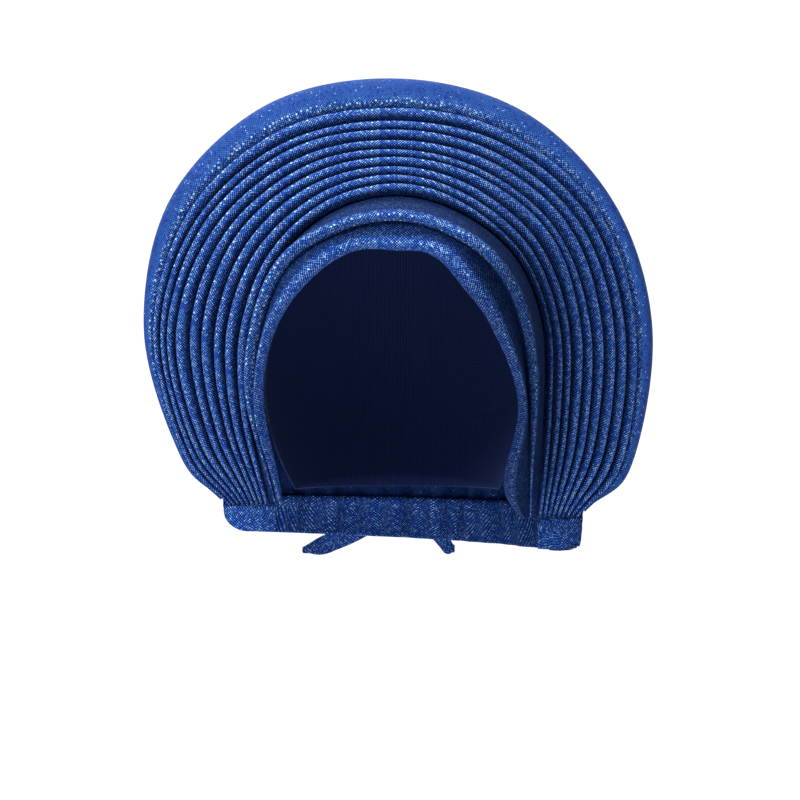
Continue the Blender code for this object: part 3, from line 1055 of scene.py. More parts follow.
@dataclass
class PleatedFan(ClothPiece):
    """Nine round pleats laid one behind the other, from gather to gather over the top.

    Attributes:
        rise: Height of a pleat as a share of its width.
        groove_share: How far the grooves go in, as a share of the drawn section.
        edge_wander: How far the grooves stray, as a share of the fan.
        edge_seed: Seed of the first groove's way.
        sway: How far the crests stray, as a share of a pleat.
        sway_seed: Seed of the first crest's way.
        swell: How much a pleat's height varies.
        swell_seed: Seed of the first pleat's height.
        groove_shade: Zone of height that is dark.
        inner_shade: Zone that is dark at a pleat's inner edge.
        outer_shade: Zone that is dark at its outer edge.
        sunk_pleats: Number of pleats that lie deep on the right.
        sunk_shade: How dark the innermost of them is there.
        lit_crest: Zone of the lit crest.
        sunny: How much more the crests shine where they meet the light.
        crest_row: Row of the section that lies on the crest.
        pleats: Outer edge of each pleat, as a share of the fan, at five places along it.
        section: Section of a pleat, place across and height.
    """

    name: str = "gele_pleated_fan"
    node: str = "pleated_fan"
    flat: Pair = (0.116, 0.620)
    area: Optional[float] = 0.0540
    rests_on: tuple[str, ...] = ("gele_upper_fold",)
    wall: float = 0.0009
    stations: int = 380
    rise: float = 0.47
    groove_share: float = 6 / 11
    edge_wander: float = 0.0045
    edge_seed: int = 40
    sway: float = 0.05
    sway_seed: int = 70
    swell: float = 0.10
    swell_seed: int = 20
    groove_shade: Zone = (0.58, 0.60, 1.00)
    inner_shade: Zone = (0.40, 0.22, 0.86)
    outer_shade: Zone = (0.78, 0.12, 0.60)
    sunk_pleats: int = 4
    sunk_shade: float = 0.60
    lit_crest: Zone = (0.62, 0.30, 1.00)
    sunny: float = 0.10
    crest_row: int = 6
    pleats: tuple[tuple[float, ...], ...] = (
        (0.13, 0.10, 0.11, 0.06, 0.07),
        (0.27, 0.21, 0.21, 0.16, 0.17),
        (0.38, 0.33, 0.31, 0.27, 0.26),
        (0.51, 0.45, 0.42, 0.41, 0.39),
        (0.63, 0.56, 0.51, 0.50, 0.50),
        (0.77, 0.67, 0.62, 0.63, 0.62),
        (0.86, 0.79, 0.74, 0.75, 0.75),
        (0.93, 0.88, 0.85, 0.87, 0.88),
        (1.00, 1.00, 1.00, 1.00, 1.00),
    )
    section: tuple[Pair, ...] = (
        (0.000, -0.60),
        (0.045, -0.20),
        (0.085, 0.22),
        (0.150, 0.58),
        (0.270, 0.85),
        (0.430, 0.98),
        (0.580, 1.00),
        (0.720, 0.90),
        (0.840, 0.66),
        (0.915, 0.32),
        (0.955, -0.10),
        (0.975, -0.40),
    )

    def edges(self, along: Points) -> Points:
        """Shares across the fan of every groove.

        Args:
            along: Places along the fan.

        Returns:
            One row for each place, from the inner edge to the outer.
        """
        columns = [np.zeros_like(along)]
        count = len(self.pleats)
        for index, pleat in enumerate(self.pleats):
            even = (index + 1) / count
            edge = spline(np.array([even, *pleat, even]), along)
            if index < count - 1:
                edge = edge + self.edge_wander * wander(along, self.edge_seed + index)
            columns.append(edge)
        return np.stack(columns, axis=1)

    def pleat(self, index: int, along: Points, edges: Points) -> Points:
        """Seen side of one pleat.

        Args:
            index: Number of the pleat, from the inside.
            along: Places along it.
            edges: Shares across the fan of every groove, one row for each place.

        Returns:
            Points of shape (stations, section rows, 3).
        """
        layout = self.layout
        inner = layout.line(layout.fan_inner, along)
        span = layout.line(layout.fan_outer, along) - inner
        reach = np.linalg.norm(span, axis=-1)
        normal = layout.facing(layout.fan_inner, layout.fan_outer, along)
        across, rise = np.array(self.section).T
        width = edges[:, index + 1] - edges[:, index]
        sway = self.sway * wander(along, self.sway_seed + index)
        place = across + sway[:, None] * np.sin(np.pi * across)
        swell = 1 + self.swell * wander(along, self.swell_seed + index, (3, 5, 9, 14))
        depth = np.where(rise < 0, rise * self.groove_share, rise)
        height = depth * (self.rise * width * reach * swell)[:, None]
        share = edges[:, index][:, None] + width[:, None] * place
        base = inner[:, None, :] + span[:, None, :] * share[..., None]
        return base + normal[:, None, :] * height[..., None]

    def grid(self) -> ClothGrid:
        """All pleats as one sheet, with the grooves tucked behind each next pleat."""
        along = np.linspace(0, 1, self.stations)
        edges = self.edges(along)
        across, rise = np.array(self.section).T
        # Painted shade in the grooves and on both flanks of each pleat, deeper on the innermost pleats on the
        # right, in the fan's shade
        flank = fade(across, *self.inner_shade) + ramp(across, *self.outer_shade)
        shade = np.maximum(fade(rise, *self.groove_shade), flank)
        recess = self.layout.recess(along)[:, None]
        count = len(self.pleats)
        sunk = [self.sunk_shade * max(1 - index / self.sunk_pleats, 0.0) for index in range(count)]
        points = np.concatenate([self.pleat(index, along, edges) for index in range(count)], axis=1)
        painted_shade = np.concatenate([shade + level * recess for level in sunk], axis=1)
        # Painted highlight on the crests, stronger where they face the light
        shine = 1 - self.sunny + self.sunny * self.layout.sunlit(along)
        crest = np.outer(shine, np.tile(glow(across, *self.lit_crest), count))
        middle = np.repeat(np.arange(count) * len(across) + self.crest_row, len(across))
        return ClothGrid(points, painted_shade, crest, lengths=middle, starts=middle)


@dataclass
class UpperFold(ClothPiece):
    """Second rounded fold, its lower lip standing over the brow band.

    Attributes:
        rise: Height of the fold.
        end_rise: Height at the gathers, as a share of it.
        end_run: Share of the length over which the ends flatten.
        swell: How much the height varies.
        gap: Gap left free between this fold and its neighbours.
        columns: Points across the fold.
        crest_column: The one that lies on the lip.
        back_shade: Zone that is dark above the lip.
        rim_shade: Zone that is dark at the outer edge.
        low_shade: Zone of height that is dark.
        sunk_shade: How dark the fold is where it lies deep on the right.
        lit_crest: Zone of the lit lip.
        section: Section of the fold, place across and height.
    """

    name: str = "gele_upper_fold"
    node: str = "upper_fold"
    flat: Pair = (0.040, 0.460)
    area: Optional[float] = 0.0115
    rests_on: tuple[str, ...] = ("gele_brow_band",)
    wall: float = 0.0011
    stations: int = 300
    rise: float = 0.0066
    end_rise: float = 0.12
    end_run: float = 0.15
    swell: float = 0.08
    gap: float = 0.0003
    columns: int = 30
    crest_column: int = 14
    back_shade: Zone = (0.03, 0.10, 0.84)
    rim_shade: Zone = (0.93, 0.06, 1.00)
    low_shade: Zone = (0.30, 0.30, 1.00)
    sunk_shade: float = 0.70
    lit_crest: Zone = (-0.05, 0.10, 0.94)
    section: tuple[Pair, ...] = (
        (0.10, -0.42),
        (0.00, -0.10),
        (-0.07, 0.34),
        (-0.09, 0.72),
        (-0.04, 0.96),
        (0.07, 1.00),
        (0.22, 0.80),
        (0.42, 0.50),
        (0.68, 0.22),
        (0.90, -0.04),
        (1.00, -0.20),
    )

    def grid(self) -> ClothGrid:
        """Seen side of the fold."""
        layout = self.layout
        along = np.linspace(0, 1, self.stations)
        section = spline(np.array(self.section), np.linspace(0, 1, self.columns))
        across, rise = section.T
        ends = self.end_rise + (1 - self.end_rise) * ease(from_ends(along) / self.end_run)
        height = self.rise * ends * (1 + self.swell * wander(along, 11))
        points = strip(layout, layout.brow_groove, layout.fan_inner, along, section, height, self.gap)
        # Painted shade above the lip, at the rim and low down, deeper on the right; painted highlight on the
        # lip
        low = ramp(across, *self.back_shade) + ramp(across, *self.rim_shade) + fade(rise, *self.low_shade)
        painted_shade = low + self.sunk_shade * layout.recess(along)[:, None]
        lit = np.tile(glow(across, *self.lit_crest), (len(along), 1))
        crest = np.full(self.columns, self.crest_column)
        return ClothGrid(points, painted_shade, lit, lengths=crest, starts=crest)


@dataclass
class BrowBand(ClothPiece):
    """Folded band along the hairline, its leaf turned in on the cap.

    Attributes:
        rise: Height of the fold.
        end_rise: Height at the gathers, as a share of it.
        end_run: Share of the length over which the band comes free of the head.
        swell: How much the height varies.
        gap: Gap left free between this band and the upper fold.
        leaf_rows: Rows of the leaf: distance behind the face edge on the head and, at the
            gathers, straight back from it.
        seat: Distance that the leaf keeps from the head.
        columns: Points across the band.
        crest_column: The one whose length the weave runs by.
        upper_shade: Zone that is dark below the upper fold.
        rim_shade: Zone that is dark at the outer edge.
        leaf_shade: Zone that is dark on the leaf.
        sunk_shade: How dark the band is where it lies deep on the right.
        end_shade: Zone that is dark above the right gather.
        lit_crest: Zone of the lit crest.
        section: Section of the seen front, place across and height.
    """

    name: str = "gele_brow_band"
    node: str = "brow_band"
    flat: Pair = (0.041, 0.425)
    area: Optional[float] = 0.0120
    rests_on: tuple[str, ...] = ("cap_of_knit",)
    wall: float = 0.0011
    stations: int = 300
    rise: float = 0.0050
    end_rise: float = 0.30
    end_run: float = 0.10
    swell: float = 0.07
    gap: float = 0.0003
    leaf_rows: tuple[Pair, ...] = ((0.0170, 0.0064), (0.0102, 0.0048), (0.0040, 0.0032))
    seat: float = 0.0022
    columns: int = 44
    crest_column: int = 22
    upper_shade: Zone = (0.62, 0.09, 0.78)
    rim_shade: Zone = (0.93, 0.06, 1.00)
    leaf_shade: Zone = (0.22, 0.10, 0.80)
    sunk_shade: float = 0.55
    end_shade: Zone = (0.83, 0.08, 0.78)
    lit_crest: Zone = (0.54, 0.08, 0.95)
    section: tuple[Pair, ...] = (
        (0.00, 0.10),
        (0.06, 0.62),
        (0.20, 0.96),
        (0.36, 1.00),
        (0.54, 0.78),
        (0.74, 0.36),
        (0.92, -0.10),
        (1.00, -0.26),
    )

    def grid(self) -> ClothGrid:
        """Leaf, turned edge and seen front in one sheet."""
        layout = self.layout
        along = np.linspace(0, 1, self.stations)
        hold = ease(from_ends(along) / self.end_run)[:, None]
        edge = layout.line(layout.face_edge, along)
        leaf = []
        for depth, back in self.leaf_rows:
            free = edge + np.array([0, back, 0])
            seated = layout.behind_face_edge(along, depth, self.seat)
            joined = free * (1 - hold) + seated * hold
            leaf.append(layout.head.keep_clear(joined, self.seat))
        ends = self.end_rise + (1 - self.end_rise) * hold[:, 0]
        height = self.rise * ends * (1 + self.swell * wander(along, 5))
        section = np.array(self.section)
        front = strip(layout, layout.face_edge, layout.brow_groove, along, section, height, self.gap)
        points = spline_rows(np.concatenate([np.stack(leaf, axis=1), front], axis=1), self.columns)
        place = np.linspace(0, 1, self.columns)
        # Painted shade under the upper fold, at the rim, on the leaf and above the right gather; painted
        # highlight on the crest
        low = ramp(place, *self.upper_shade) + ramp(place, *self.rim_shade) + fade(place, *self.leaf_shade)
        start, run, level = self.end_shade
        end = np.maximum(self.sunk_shade * layout.recess(along), level * ease((along - start) / run))
        lit = np.tile(glow(place, *self.lit_crest), (len(along), 1))
        crest = np.full(self.columns, self.crest_column)
        return ClothGrid(points, low + end[:, None], lit, lengths=crest, starts=crest)


@dataclass
class BackDrape(ClothPiece):
    """Broad outer fold, rolled over the outline and drawn down to the nape in soft gathers.

    Attributes:
        end_inset: Share of the rails left free at either end.
        end_width: Width of the outer fold at its ends, as a share of the whole.
        end_run: Share of the length over which the ends narrow.
        groove_gap: Gap left free beside the last pleat.
        roll: Share of the weave's shading that the rolled edge takes.
        roll_rows: Points across the rolled edge.
        roll_swell: How far the roll swells, as a share of its breadth.
        roll_dip: How far its edge dips beside the last pleat.
        roll_breadth: Breadth up to which the swell grows.
        back_rows: Points down the back.
        reach: How far the drape runs straight back behind the outline.
        nape_rise: How high its fullness stands above the nape.
        nape_flare: How far that fullness stands out.
        nape_gap: Gap left free above the nape band.
        sag: Unevenness of the back.
        gathers: Number of fine gathers round the nape.
        gather_depth: Their depth.
        broad_gathers: Number of broad gathers.
        broad_depth: Their depth.
        groove_shade: Zone that is dark beside the last pleat.
        lit_crest: Zone of the lit edge.
        sunny: How much more the edge shines where it meets the light.
        calm_zone: Zone over which the weave comes to lie calm.
    """

    name: str = "gele_back_drape"
    node: str = "back_drape"
    hold: Hold = Hold.DRAPED
    flat: Pair = (0.340, 0.635)
    area: Optional[float] = 0.1110
    rests_on: tuple[str, ...] = ("gele_pleated_fan", "gele_nape_band")
    wall: float = 0.0010
    stations: int = 420
    end_inset: float = 0.012
    end_width: float = 0.14
    end_run: float = 0.070
    groove_gap: float = 0.00015
    roll: float = 0.20
    roll_rows: int = 22
    roll_swell: float = 0.16
    roll_dip: float = 0.30
    roll_breadth: float = 0.02
    back_rows: int = 72
    reach: float = 0.090
    nape_rise: float = 0.125
    nape_flare: float = 0.055
    nape_gap: float = 0.0003
    sag: float = 0.0016
    gathers: int = 26
    gather_depth: float = 0.0019
    broad_gathers: int = 10
    broad_depth: float = 0.0022
    groove_shade: Zone = (0.010, 0.010, 1.0)
    lit_crest: Zone = (0.024, 0.026, 1.0)
    sunny: float = 0.10
    calm_zone: Zone = (0.022, 0.018, 1.0)

    def shirring(self, along: Points, down: float = 1.0) -> Points:
        """Depth of the gathers, which fade out up the back.

        Args:
            along: Places along the drape.
            down: Share of the way down the back.

        Returns:
            Distances straight out from the nape ring.
        """
        uneven = along + 0.006 * wander(along, 3, (3, 7, 11))
        broad = np.cos(2 * np.pi * self.broad_gathers * uneven) * self.broad_depth * down**2
        fine = np.cos(2 * np.pi * self.gathers * (uneven + 0.004 * wander(along, 9)))
        fine = fine * self.gather_depth * down**4
        return (broad + fine) * ease(from_ends(along) / 0.08)

    def rolled_edge(self, along: Points, groove: Points, span: Points) -> list[Points]:
        """Rows of the rolled edge.

        Args:
            along: Places along the drape.
            groove: Points beside the last pleat.
            span: Ways from them to the outline.

        Returns:
            One array of points for each row, from the groove to the outline.
        """
        layout = self.layout
        start = groove + unit(span) * self.groove_gap
        breadth = np.minimum(np.linalg.norm(span, axis=-1), self.roll_breadth)
        normal = layout.facing(layout.fan_outer, layout.outline, along)
        rows = []
        for share in np.linspace(0, 1, self.roll_rows):
            angle = math.pi / 2 * share
            turn = np.array([math.sin(angle), 1 - math.cos(angle), math.sin(angle)])
            swell = self.roll_swell * math.sin(math.pi * min(share / 0.75, 1.0))
            dip = self.roll_dip * (1 - min(share / 0.10, 1.0)) ** 2
            rows.append(start + span * turn + normal * ((swell - dip) * breadth)[:, None])
        return rows

    def back(self, along: Points, outline: Points) -> list[Points]:
        """Rows of the back.

        Args:
            along: Places along the drape.
            outline: Points on the outline.

        Returns:
            One array of points for each row below the outline, down to the nape.
        """
        full = np.sin(np.pi * along)[:, None]
        gathered = self.shirring(along)
        nape, out = self.layout.ring(along, self.nape_gap)
        nape = nape + out * gathered[:, None]
        lifted = outline + np.array([0, 1, 0]) * self.reach * full**0.8
        hanging = nape + out * self.nape_flare * full + np.array([0, 0, 1]) * self.nape_rise * full
        rows = []
        for share in np.linspace(0, 1, self.back_rows)[1:]:
            point = (
                outline * (1 - share) ** 3
                + lifted * 3 * share * (1 - share) ** 2
                + hanging * 3 * share**2 * (1 - share)
                + nape * share**3
            )
            extra = self.shirring(along, share) - gathered * share**3
            sag = self.sag * wander(along + 0.1 * share, 31) * math.sin(math.pi * share) ** 2
            rows.append(point + out * (extra + sag)[:, None])
        return rows

    def grid(self) -> ClothGrid:
        """Outer fold and back in one sheet."""
        layout = self.layout
        along = self.end_inset + (1 - 2 * self.end_inset) * np.linspace(0, 1, self.stations)
        groove = layout.line(layout.fan_outer, along)
        ends = ease((from_ends(along) - self.end_inset) / self.end_run)
        taper = self.end_width + (1 - self.end_width) * ends
        span = (layout.line(layout.outline, along) - groove) * taper[:, None]
        rows = self.rolled_edge(along, groove, span) + self.back(along, groove + span)
        rolled = np.linspace(0, 1, self.roll_rows) * self.roll
        down = np.linspace(0, 1, self.back_rows)[1:]
        place = np.concatenate([rolled, self.roll + (1 - self.roll) * down])
        # Painted highlight along the rolled edge, stronger where it faces the light; painted shade beside the
        # last pleat
        shine = 1 - self.sunny + self.sunny * layout.sunlit(along)
        rim = np.full(len(place), self.roll_rows - 1)
        return ClothGrid(
            np.stack(rows, axis=1),
            np.tile(fade(place, *self.groove_shade), (len(along), 1)),
            np.outer(shine, glow(place, *self.lit_crest)),
            np.tile(ramp(place, *self.calm_zone), (len(along), 1)),
            lengths=rim,
            starts=rim,
        )


@dataclass
class UnderCap(ClothPiece):
    """Knit cap that holds the head.

    Attributes:
        end_share: Share of the face edge left free at either end.
        setback: How far the cap's rim lies behind the face edge.
        hem_drop: How far its hem lies below the crown seat.
        rows: Points from the rim to the hem.
        pull: Shares of the head's width, length and crown by which the middle is drawn out.
        clear: Distance of the cap's outer side from the head.
    """

    name: str = "cap_of_knit"
    node: str = "under_cap"
    slot: Slot = Slot.CAP
    hold: Hold = Hold.STRETCHED
    flat: Pair = (0.320, 0.400)
    area: Optional[float] = 0.070
    wall: float = 0.0012
    stations: int = 200
    end_share: float = 0.07
    setback: float = 0.008
    hem_drop: float = 0.170
    rows: int = 70
    pull: tuple[float, float, float] = (0.6, 0.33, 1.9)
    clear: float = 0.0015

    def grid(self) -> ClothGrid:
        """Outer side of the cap."""
        head = self.layout.head
        along = np.linspace(0, 1, self.stations)
        edge = self.end_share + (1 - 2 * self.end_share) * along
        rim = self.layout.behind_face_edge(edge, self.setback, 0.0)
        left, back = -np.cos(np.pi * along), np.sin(np.pi * along)
        level = np.full_like(along, -self.hem_drop)
        hem = np.stack([left * head.half, head.back + back * head.length / 2, level], axis=1)
        hem = head.seat(hem, 0.0)
        wide, deep, high = self.pull
        offset = [left * head.width * wide, np.full_like(along, head.length * deep), head.crown * high * back]
        over = head.centre + np.stack(offset, axis=1)
        share = back[:, None] ** 1.5
        over = (rim + hem) / 2 * (1 - share) + over * share
        columns = []
        for place in np.linspace(0, 1, self.rows):
            point = rim * (1 - place) ** 2 + over * 2 * place * (1 - place) + hem * place**2
            columns.append(head.seat(point, self.clear))
        return ClothGrid(np.stack(columns, axis=1))


@dataclass
class NapeBand(ClothPiece):
    """Band round the nape between the cuffs, fluted like the drape above it.

    Attributes:
        end_share: Share of the nape ring left to either cuff.
        height_left: Height of the band on the left.
        height_right: Its height on the right.
        cuff_over: How far the cuffs reach past the band's ends.
        rounding: Radius by which the lower corners are rounded.
        round_reach: How far in from the corner the rounding starts.
        bulge: How far the middle of the band stands out.
        tuck: How far its upper edge runs up inside the drape.
        inset: How far that edge lies inside.
        rows: Points down the band.
        shade_left: How dark the band is on the left.
        shade_right: How much darker it is on the right.
        shade_run: Start and length of the stretch over which it darkens.
    """

    name: str = "gele_nape_band"
    node: str = "nape_band"
    hold: Hold = Hold.GATHERED
    flat: Pair = (0.0270, 0.325)
    area: Optional[float] = 0.0072
    rests_on: tuple[str, ...] = ("gele_back_drape",)
    wall: float = 0.0020
    stations: int = 360
    end_share: float = 0.05
    height_left: float = 0.0140
    height_right: float = 0.0232
    cuff_over: float = 0.0022
    rounding: float = 0.0125
    round_reach: float = 0.0145
    bulge: float = 0.0013
    tuck: float = 0.0050
    inset: float = 0.0016
    rows: int = 16
    shade_left: float = 0.12
    shade_right: float = 0.58
    shade_run: Pair = (0.45, 0.40)

    def height(self, along: Points, across: Points) -> Points:
        """Height of the band, which is deeper on the right and rounded at its ends.

        Args:
            along: Places along the band.
            across: Their distances to the right of the middle.

        Returns:
            One height for each place.
        """
        left = across < 0
        beside = np.abs(across)
        far = np.where(left, beside[left].max(), beside[~left].max()) + self.cuff_over
        near = np.clip(1 - (far - beside) / self.round_reach, 0, 1)
        full = self.height_left + (self.height_right - self.height_left) * along
        return full - self.rounding * (1 - np.sqrt(1 - near**2))

    def grid(self) -> ClothGrid:
        """Outer side of the band."""
        along = self.end_share + (1 - 2 * self.end_share) * np.linspace(0, 1, self.stations)
        points, out = self.layout.ring(along, 0.0)
        flute = BackDrape(self.layout, self.finish).shirring(along)
        height = self.height(along, points[:, 0])
        columns = []
        for lift in (1.0, 0.5, 0.1):
            up = np.array([0.0, 0.0, self.tuck * lift])
            columns.append(points + up + out * (flute - self.inset * min(2 * lift, 1.0))[:, None])
        for share in np.linspace(0, 1, self.rows):
            drop = np.outer(height * share, (0.0, 0.0, -1.0))
            swell = math.sin(math.pi * share) * self.bulge
            columns.append(points + drop + out * (flute * (1 - 0.5 * share) + swell)[:, None])
        # Painted shade, darker towards the right
        start, run = self.shade_run
        low = self.shade_left + self.shade_right * ease((along - start) / run)
        return ClothGrid(np.stack(columns, axis=1), np.outer(low, np.ones(len(columns))), weave_turn=True)


@dataclass
class Cuff(ClothPiece):
    """Gathered end of the pleats below one side gather, turned back round the outer corner.

    Attributes:
        side: Side of the head tie.
        inner: Distance of the cuff's inner end from the middle.
        height: Height of its front.
        join: Height of the nape band where the two meet.
        corner: Share of the cuff's length that lies in front of the corner.
        ring_share: Share of the nape ring that the turned part takes.
        bow: How far the front bows forward, as a share of the roll.
        roll: How far the gathered edge stands out.
        rounding: Radius by which the lower corner is rounded.
        round_reach: How far in from the corner the rounding starts.
        drop: Gap left free below the gather line.
        seam: How far the turned part runs up inside the drape.
        shade: How dark the cuff is.
        pinch: Place along it where the creases meet.
        creases: Number of creases.
        crease_depth: Their depth.
        places: Points along the cuff.
        rows: Points down it.
    """

    side: Side = Side.LEFT
    name: str = "gele_left_cuff"
    node: str = "left_cuff"
    hold: Hold = Hold.GATHERED
    flat: Pair = (0.016, 0.048)
    area: Optional[float] = 0.0006
    rests_on: tuple[str, ...] = ("gele_nape_band",)
    wall: float = 0.0014
    inner: float = 0.067
    height: float = 0.014
    join: float = 0.0086
    corner: float = 0.62
    ring_share: float = 0.047
    bow: float = 1.6
    roll: float = 0.0022
    rounding: float = 0.0118
    round_reach: float = 0.0140
    drop: float = 0.0008
    seam: float = 0.0045
    shade: float = 0.0
    pinch: float = 0.16
    creases: float = 5.5
    crease_depth: float = 0.00045
    places: int = 90
    rows: int = 22

    @property
    def end(self) -> float:
        """Place of the cuff's corner on the nape ring."""
        return 0.0 if self.side is Side.LEFT else 1.0

    def path(self, along: float) -> tuple[Points, Points]:
        """Place and facing on the cuff's line, seen from above.

        Args:
            along: Share of the way from its inner end round the corner.

        Returns:
            The point and the direction straight out from it.
        """
        sign = self.side.value
        if along <= self.corner:
            way = along / self.corner
            corner, _ = self.layout.ring(np.array([self.end]), 0.0)
            start = sign * self.inner
            front = self.roll * self.bow * math.sin(math.pi * way)
            plan = np.array([start + (corner[0, 0] - start) * way, self.layout.gather_back - front, 0.0])
            out = np.array([sign * way**3, -1 + way**3, 0.0])
        else:
            way = (along - self.corner) / (1 - self.corner)
            place = abs(self.end - self.ring_share * way)
            point, outward = self.layout.ring(np.array([place]), 0.0)
            plan = point[0]
            out = np.array([sign, 0.0, 0.0]) * (1 - way) + outward[0] * way
        return plan, out / max(np.linalg.norm(out), 1e-9)

    def grid(self) -> ClothGrid:
        """Seen side of the cuff, from its inner lip round the corner."""
        places = np.linspace(0, 1, self.places)
        path = [self.path(along) for along in places]
        far = max(abs(plan[0]) for plan, _ in path)
        down = np.linspace(0, 1, self.rows)
        full = np.sin(np.pi * np.minimum(down / 0.45, 1.0))
        ripple = np.sin(np.pi * np.minimum(down * 1.6, 1.0) ** 0.7)
        top = float(self.layout.gather_height(np.array([self.end]))[0]) - self.drop
        rows = []
        for along, (plan, out) in zip(places, path):
            near = max(1 - (far - abs(plan[0])) / self.round_reach, 0.0)
            behind = (along - self.corner) / (1 - self.corner)
            height = self.height - self.rounding * (1 - math.sqrt(1 - near**2))
            height = height + (self.join - self.drop - height) * ease(behind)
            fan = (along - self.pinch) / (0.35 + down)
            crease = self.crease_depth * np.cos(2 * np.pi * self.creases * fan) * (1 - near)
            roll = self.roll * full * (1 - 0.85 * near**2) + crease * ripple
            seam = self.seam * ease((behind + 0.07) / 0.2) * (1 - down) ** 2
            level = top + seam - height * down
            rows.append(np.stack([plan[0] + out[0] * roll, plan[1] + out[1] * roll, level], axis=1))
        if self.side is Side.RIGHT:
            rows.reverse()
        points = np.stack(rows, axis=0)
        # Painted shade, even over the cuff
        return ClothGrid(points, np.full(points.shape[:2], self.shade), weave_turn=True)


@dataclass
class NapeTie(ClothPiece):
    """Knot and two short tails that close the head tie at the nape.

    Attributes:
        knot_width: Width of the knot.
        knot_height: Its height.
        knot_depth: Its depth.
        knot_fill: Share of these sizes that the wound cloth takes.
        pinch: How far the knot is drawn in at its middle.
        wraps: Turns of cloth round the knot: height, number and slant of each set.
        wrap_shade: Zone of height that is dark between the turns.
        knot_tip: Angle left open at either tip before it is closed.
        tail_width: Width of a tail.
        tail_drop: How far its tip droops.
        tail_wall: Thickness of its doubled cloth.
        tail_outline: Half widths from the knot to the tip, as shares of the width.
        tail_droop: Shares of the droop from the knot to the tip.
        tail_ripple: Unevenness of a tail.
        left_reach: Distance of the left tip from the knot's middle.
        right_reach: Distance of the right tip from it.
        gap: Gap left free between knot and tail.
    """

    name: str = "gele_nape_knot"
    node: str = "nape_knot"
    slot: Slot = Slot.TIE
    flat: Pair = (0.020, 0.024)
    rests_on: tuple[str, ...] = ("gele_nape_band",)
    knot_width: float = 0.026
    knot_height: float = 0.016
    knot_depth: float = 0.012
    knot_fill: float = 0.97
    pinch: float = 0.25
    wraps: tuple[tuple[float, int, int], ...] = ((0.055, 3, 9), (0.03, 5, -14))
    wrap_shade: Zone = (1.0, 0.07, 1.0)
    knot_tip: float = 0.02
    tail_width: float = 0.011
    tail_drop: float = 0.016
    tail_wall: float = 0.0016
    tail_outline: tuple[float, ...] = (0.42, 0.50, 0.50, 0.50, 0.12)
    tail_droop: tuple[float, ...] = (0.0, 0.30, 0.60, 0.85, 1.0)
    tail_ripple: float = 0.0007
    left_reach: float = 0.058
    right_reach: float = 0.030
    gap: float = 0.0003

    def centre(self) -> Points:
        """Middle of the knot, seated on the crest of the band's middle flute."""
        low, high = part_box(self.node)
        return (np.array(low) + np.array(high)) / 2

    def knot(self) -> bpy.types.Object:
        """Wrapped knot: a pinched ball of cloth with soft turns round it.

        Returns:
            The knot's object.
        """
        turn = np.linspace(0, 2 * np.pi, 97)[:-1]
        steep = np.pi / 2 - self.knot_tip
        around, tip = np.meshgrid(turn, np.linspace(-steep, steep, 49), indexing="ij")
        wrap = 1.0
        for height, count, slant in self.wraps:
            wrap = wrap + height * np.cos(count * around + slant * tip)
        x = np.sin(tip) / 2
        radius = np.cos(tip) / 2 * wrap
        squeeze = 1 - self.pinch * np.cos(np.pi * x) ** 4
        ball = np.stack([x, radius * np.cos(around), radius * np.sin(around) * squeeze], axis=-1)
        size = np.array([self.knot_width, self.knot_depth, self.knot_height]) * self.knot_fill
        # Painted shade between the turns of the knot
        grid = ClothGrid(ball * size + self.centre(), fade(wrap, *self.wrap_shade))
        knot = self.cloth_mesh(self.name, grid, 0.0, closed=True)
        shape = bmesh.new()
        shape.from_mesh(knot.data)
        rims = [edge for edge in shape.edges if edge.is_boundary]
        bmesh.ops.holes_fill(shape, edges=rims)
        bmesh.ops.recalc_face_normals(shape, faces=shape.faces[:])
        shape.to_mesh(knot.data)
        shape.free()
        return knot

    def tail(self, side: Side, reach: float) -> bpy.types.Object:
        """Flat tail that leaves the knot sideways, follows the nape and droops to its tip.

        Args:
            side: Side of the knot.
            reach: Distance of the tip from the knot's middle.

        Returns:
            The tail's object.
        """
        layout = self.layout
        centre = self.centre()
        along = np.linspace(0, 1, 90)
        width = self.tail_width * spline(np.array(self.tail_outline), along)
        droop = self.tail_drop * spline(np.array(self.tail_droop), along)
        start = self.knot_width / 2 + self.gap
        x = centre[0] + side.value * (start + (reach - start) * along)
        ring_reach = (layout.outline.ends[1] - layout.outline.ends[0]) * layout.fan_half / 2
        inward = layout.nape_reach * (1 - np.sqrt(1 - (along * reach / ring_reach) ** 2))
        columns = []
        for share in np.linspace(0, 1, 13):
            wave = np.sin(2 * np.pi * (1.5 * along + 0.4 * share))
            ripple = self.tail_ripple * wave * ease(along / 0.2)
            z = centre[2] - droop + width * (1 - 2 * share)
            columns.append(np.stack([x, centre[1] - inward + ripple, z], axis=1))
        points = np.stack(columns, axis=1)
        if side is Side.LEFT:
            points = points[::-1]
        return self.cloth_mesh(f"gele_{side.name.lower()}_tail", ClothGrid(points), self.tail_wall)

    def make(self) -> bpy.types.Object:
        """Build the knot and both tails.

        Returns:
            The knot's object.
        """
        knot = self.knot()
        self.declare(knot, self.node, self.hold, self.flat, self.rests_on)
        for side, reach in ((Side.LEFT, self.left_reach), (Side.RIGHT, self.right_reach)):
            flat = (self.tail_width, reach - self.knot_width / 2)
            node = f"{side.name.lower()}_tail"
            self.declare(self.tail(side, reach), node, Hold.HUNG, flat, (self.name,))
        return knot


@dataclass(frozen=True)
class Lamp:
    """Square soft light aimed at the head tie.

    Attributes:
        name: Name of the light.
        place: Where it stands.
        size: Side of its square.
        power: Power in watts.
        colour: Its colour.
    """

    name: str
    place: tuple[float, float, float]
    size: float
    power: float
    colour: Colour = (1.0, 1.0, 1.0)

    def hang(self, aim: Vector) -> None:
        """Put the light in the scene.

        Args:
            aim: Point that it is turned to.
        """
        lamp = bpy.data.lights.new(self.name, "AREA")
        lamp.size = self.size
        lamp.energy = self.power
        lamp.color = self.colour
        holder = bpy.data.objects.new(self.name, lamp)
        holder.location = self.place
        way = aim - Vector(self.place)
        holder.rotation_euler = way.to_track_quat("-Z", "Y").to_euler()
        bpy.context.scene.collection.objects.link(holder)


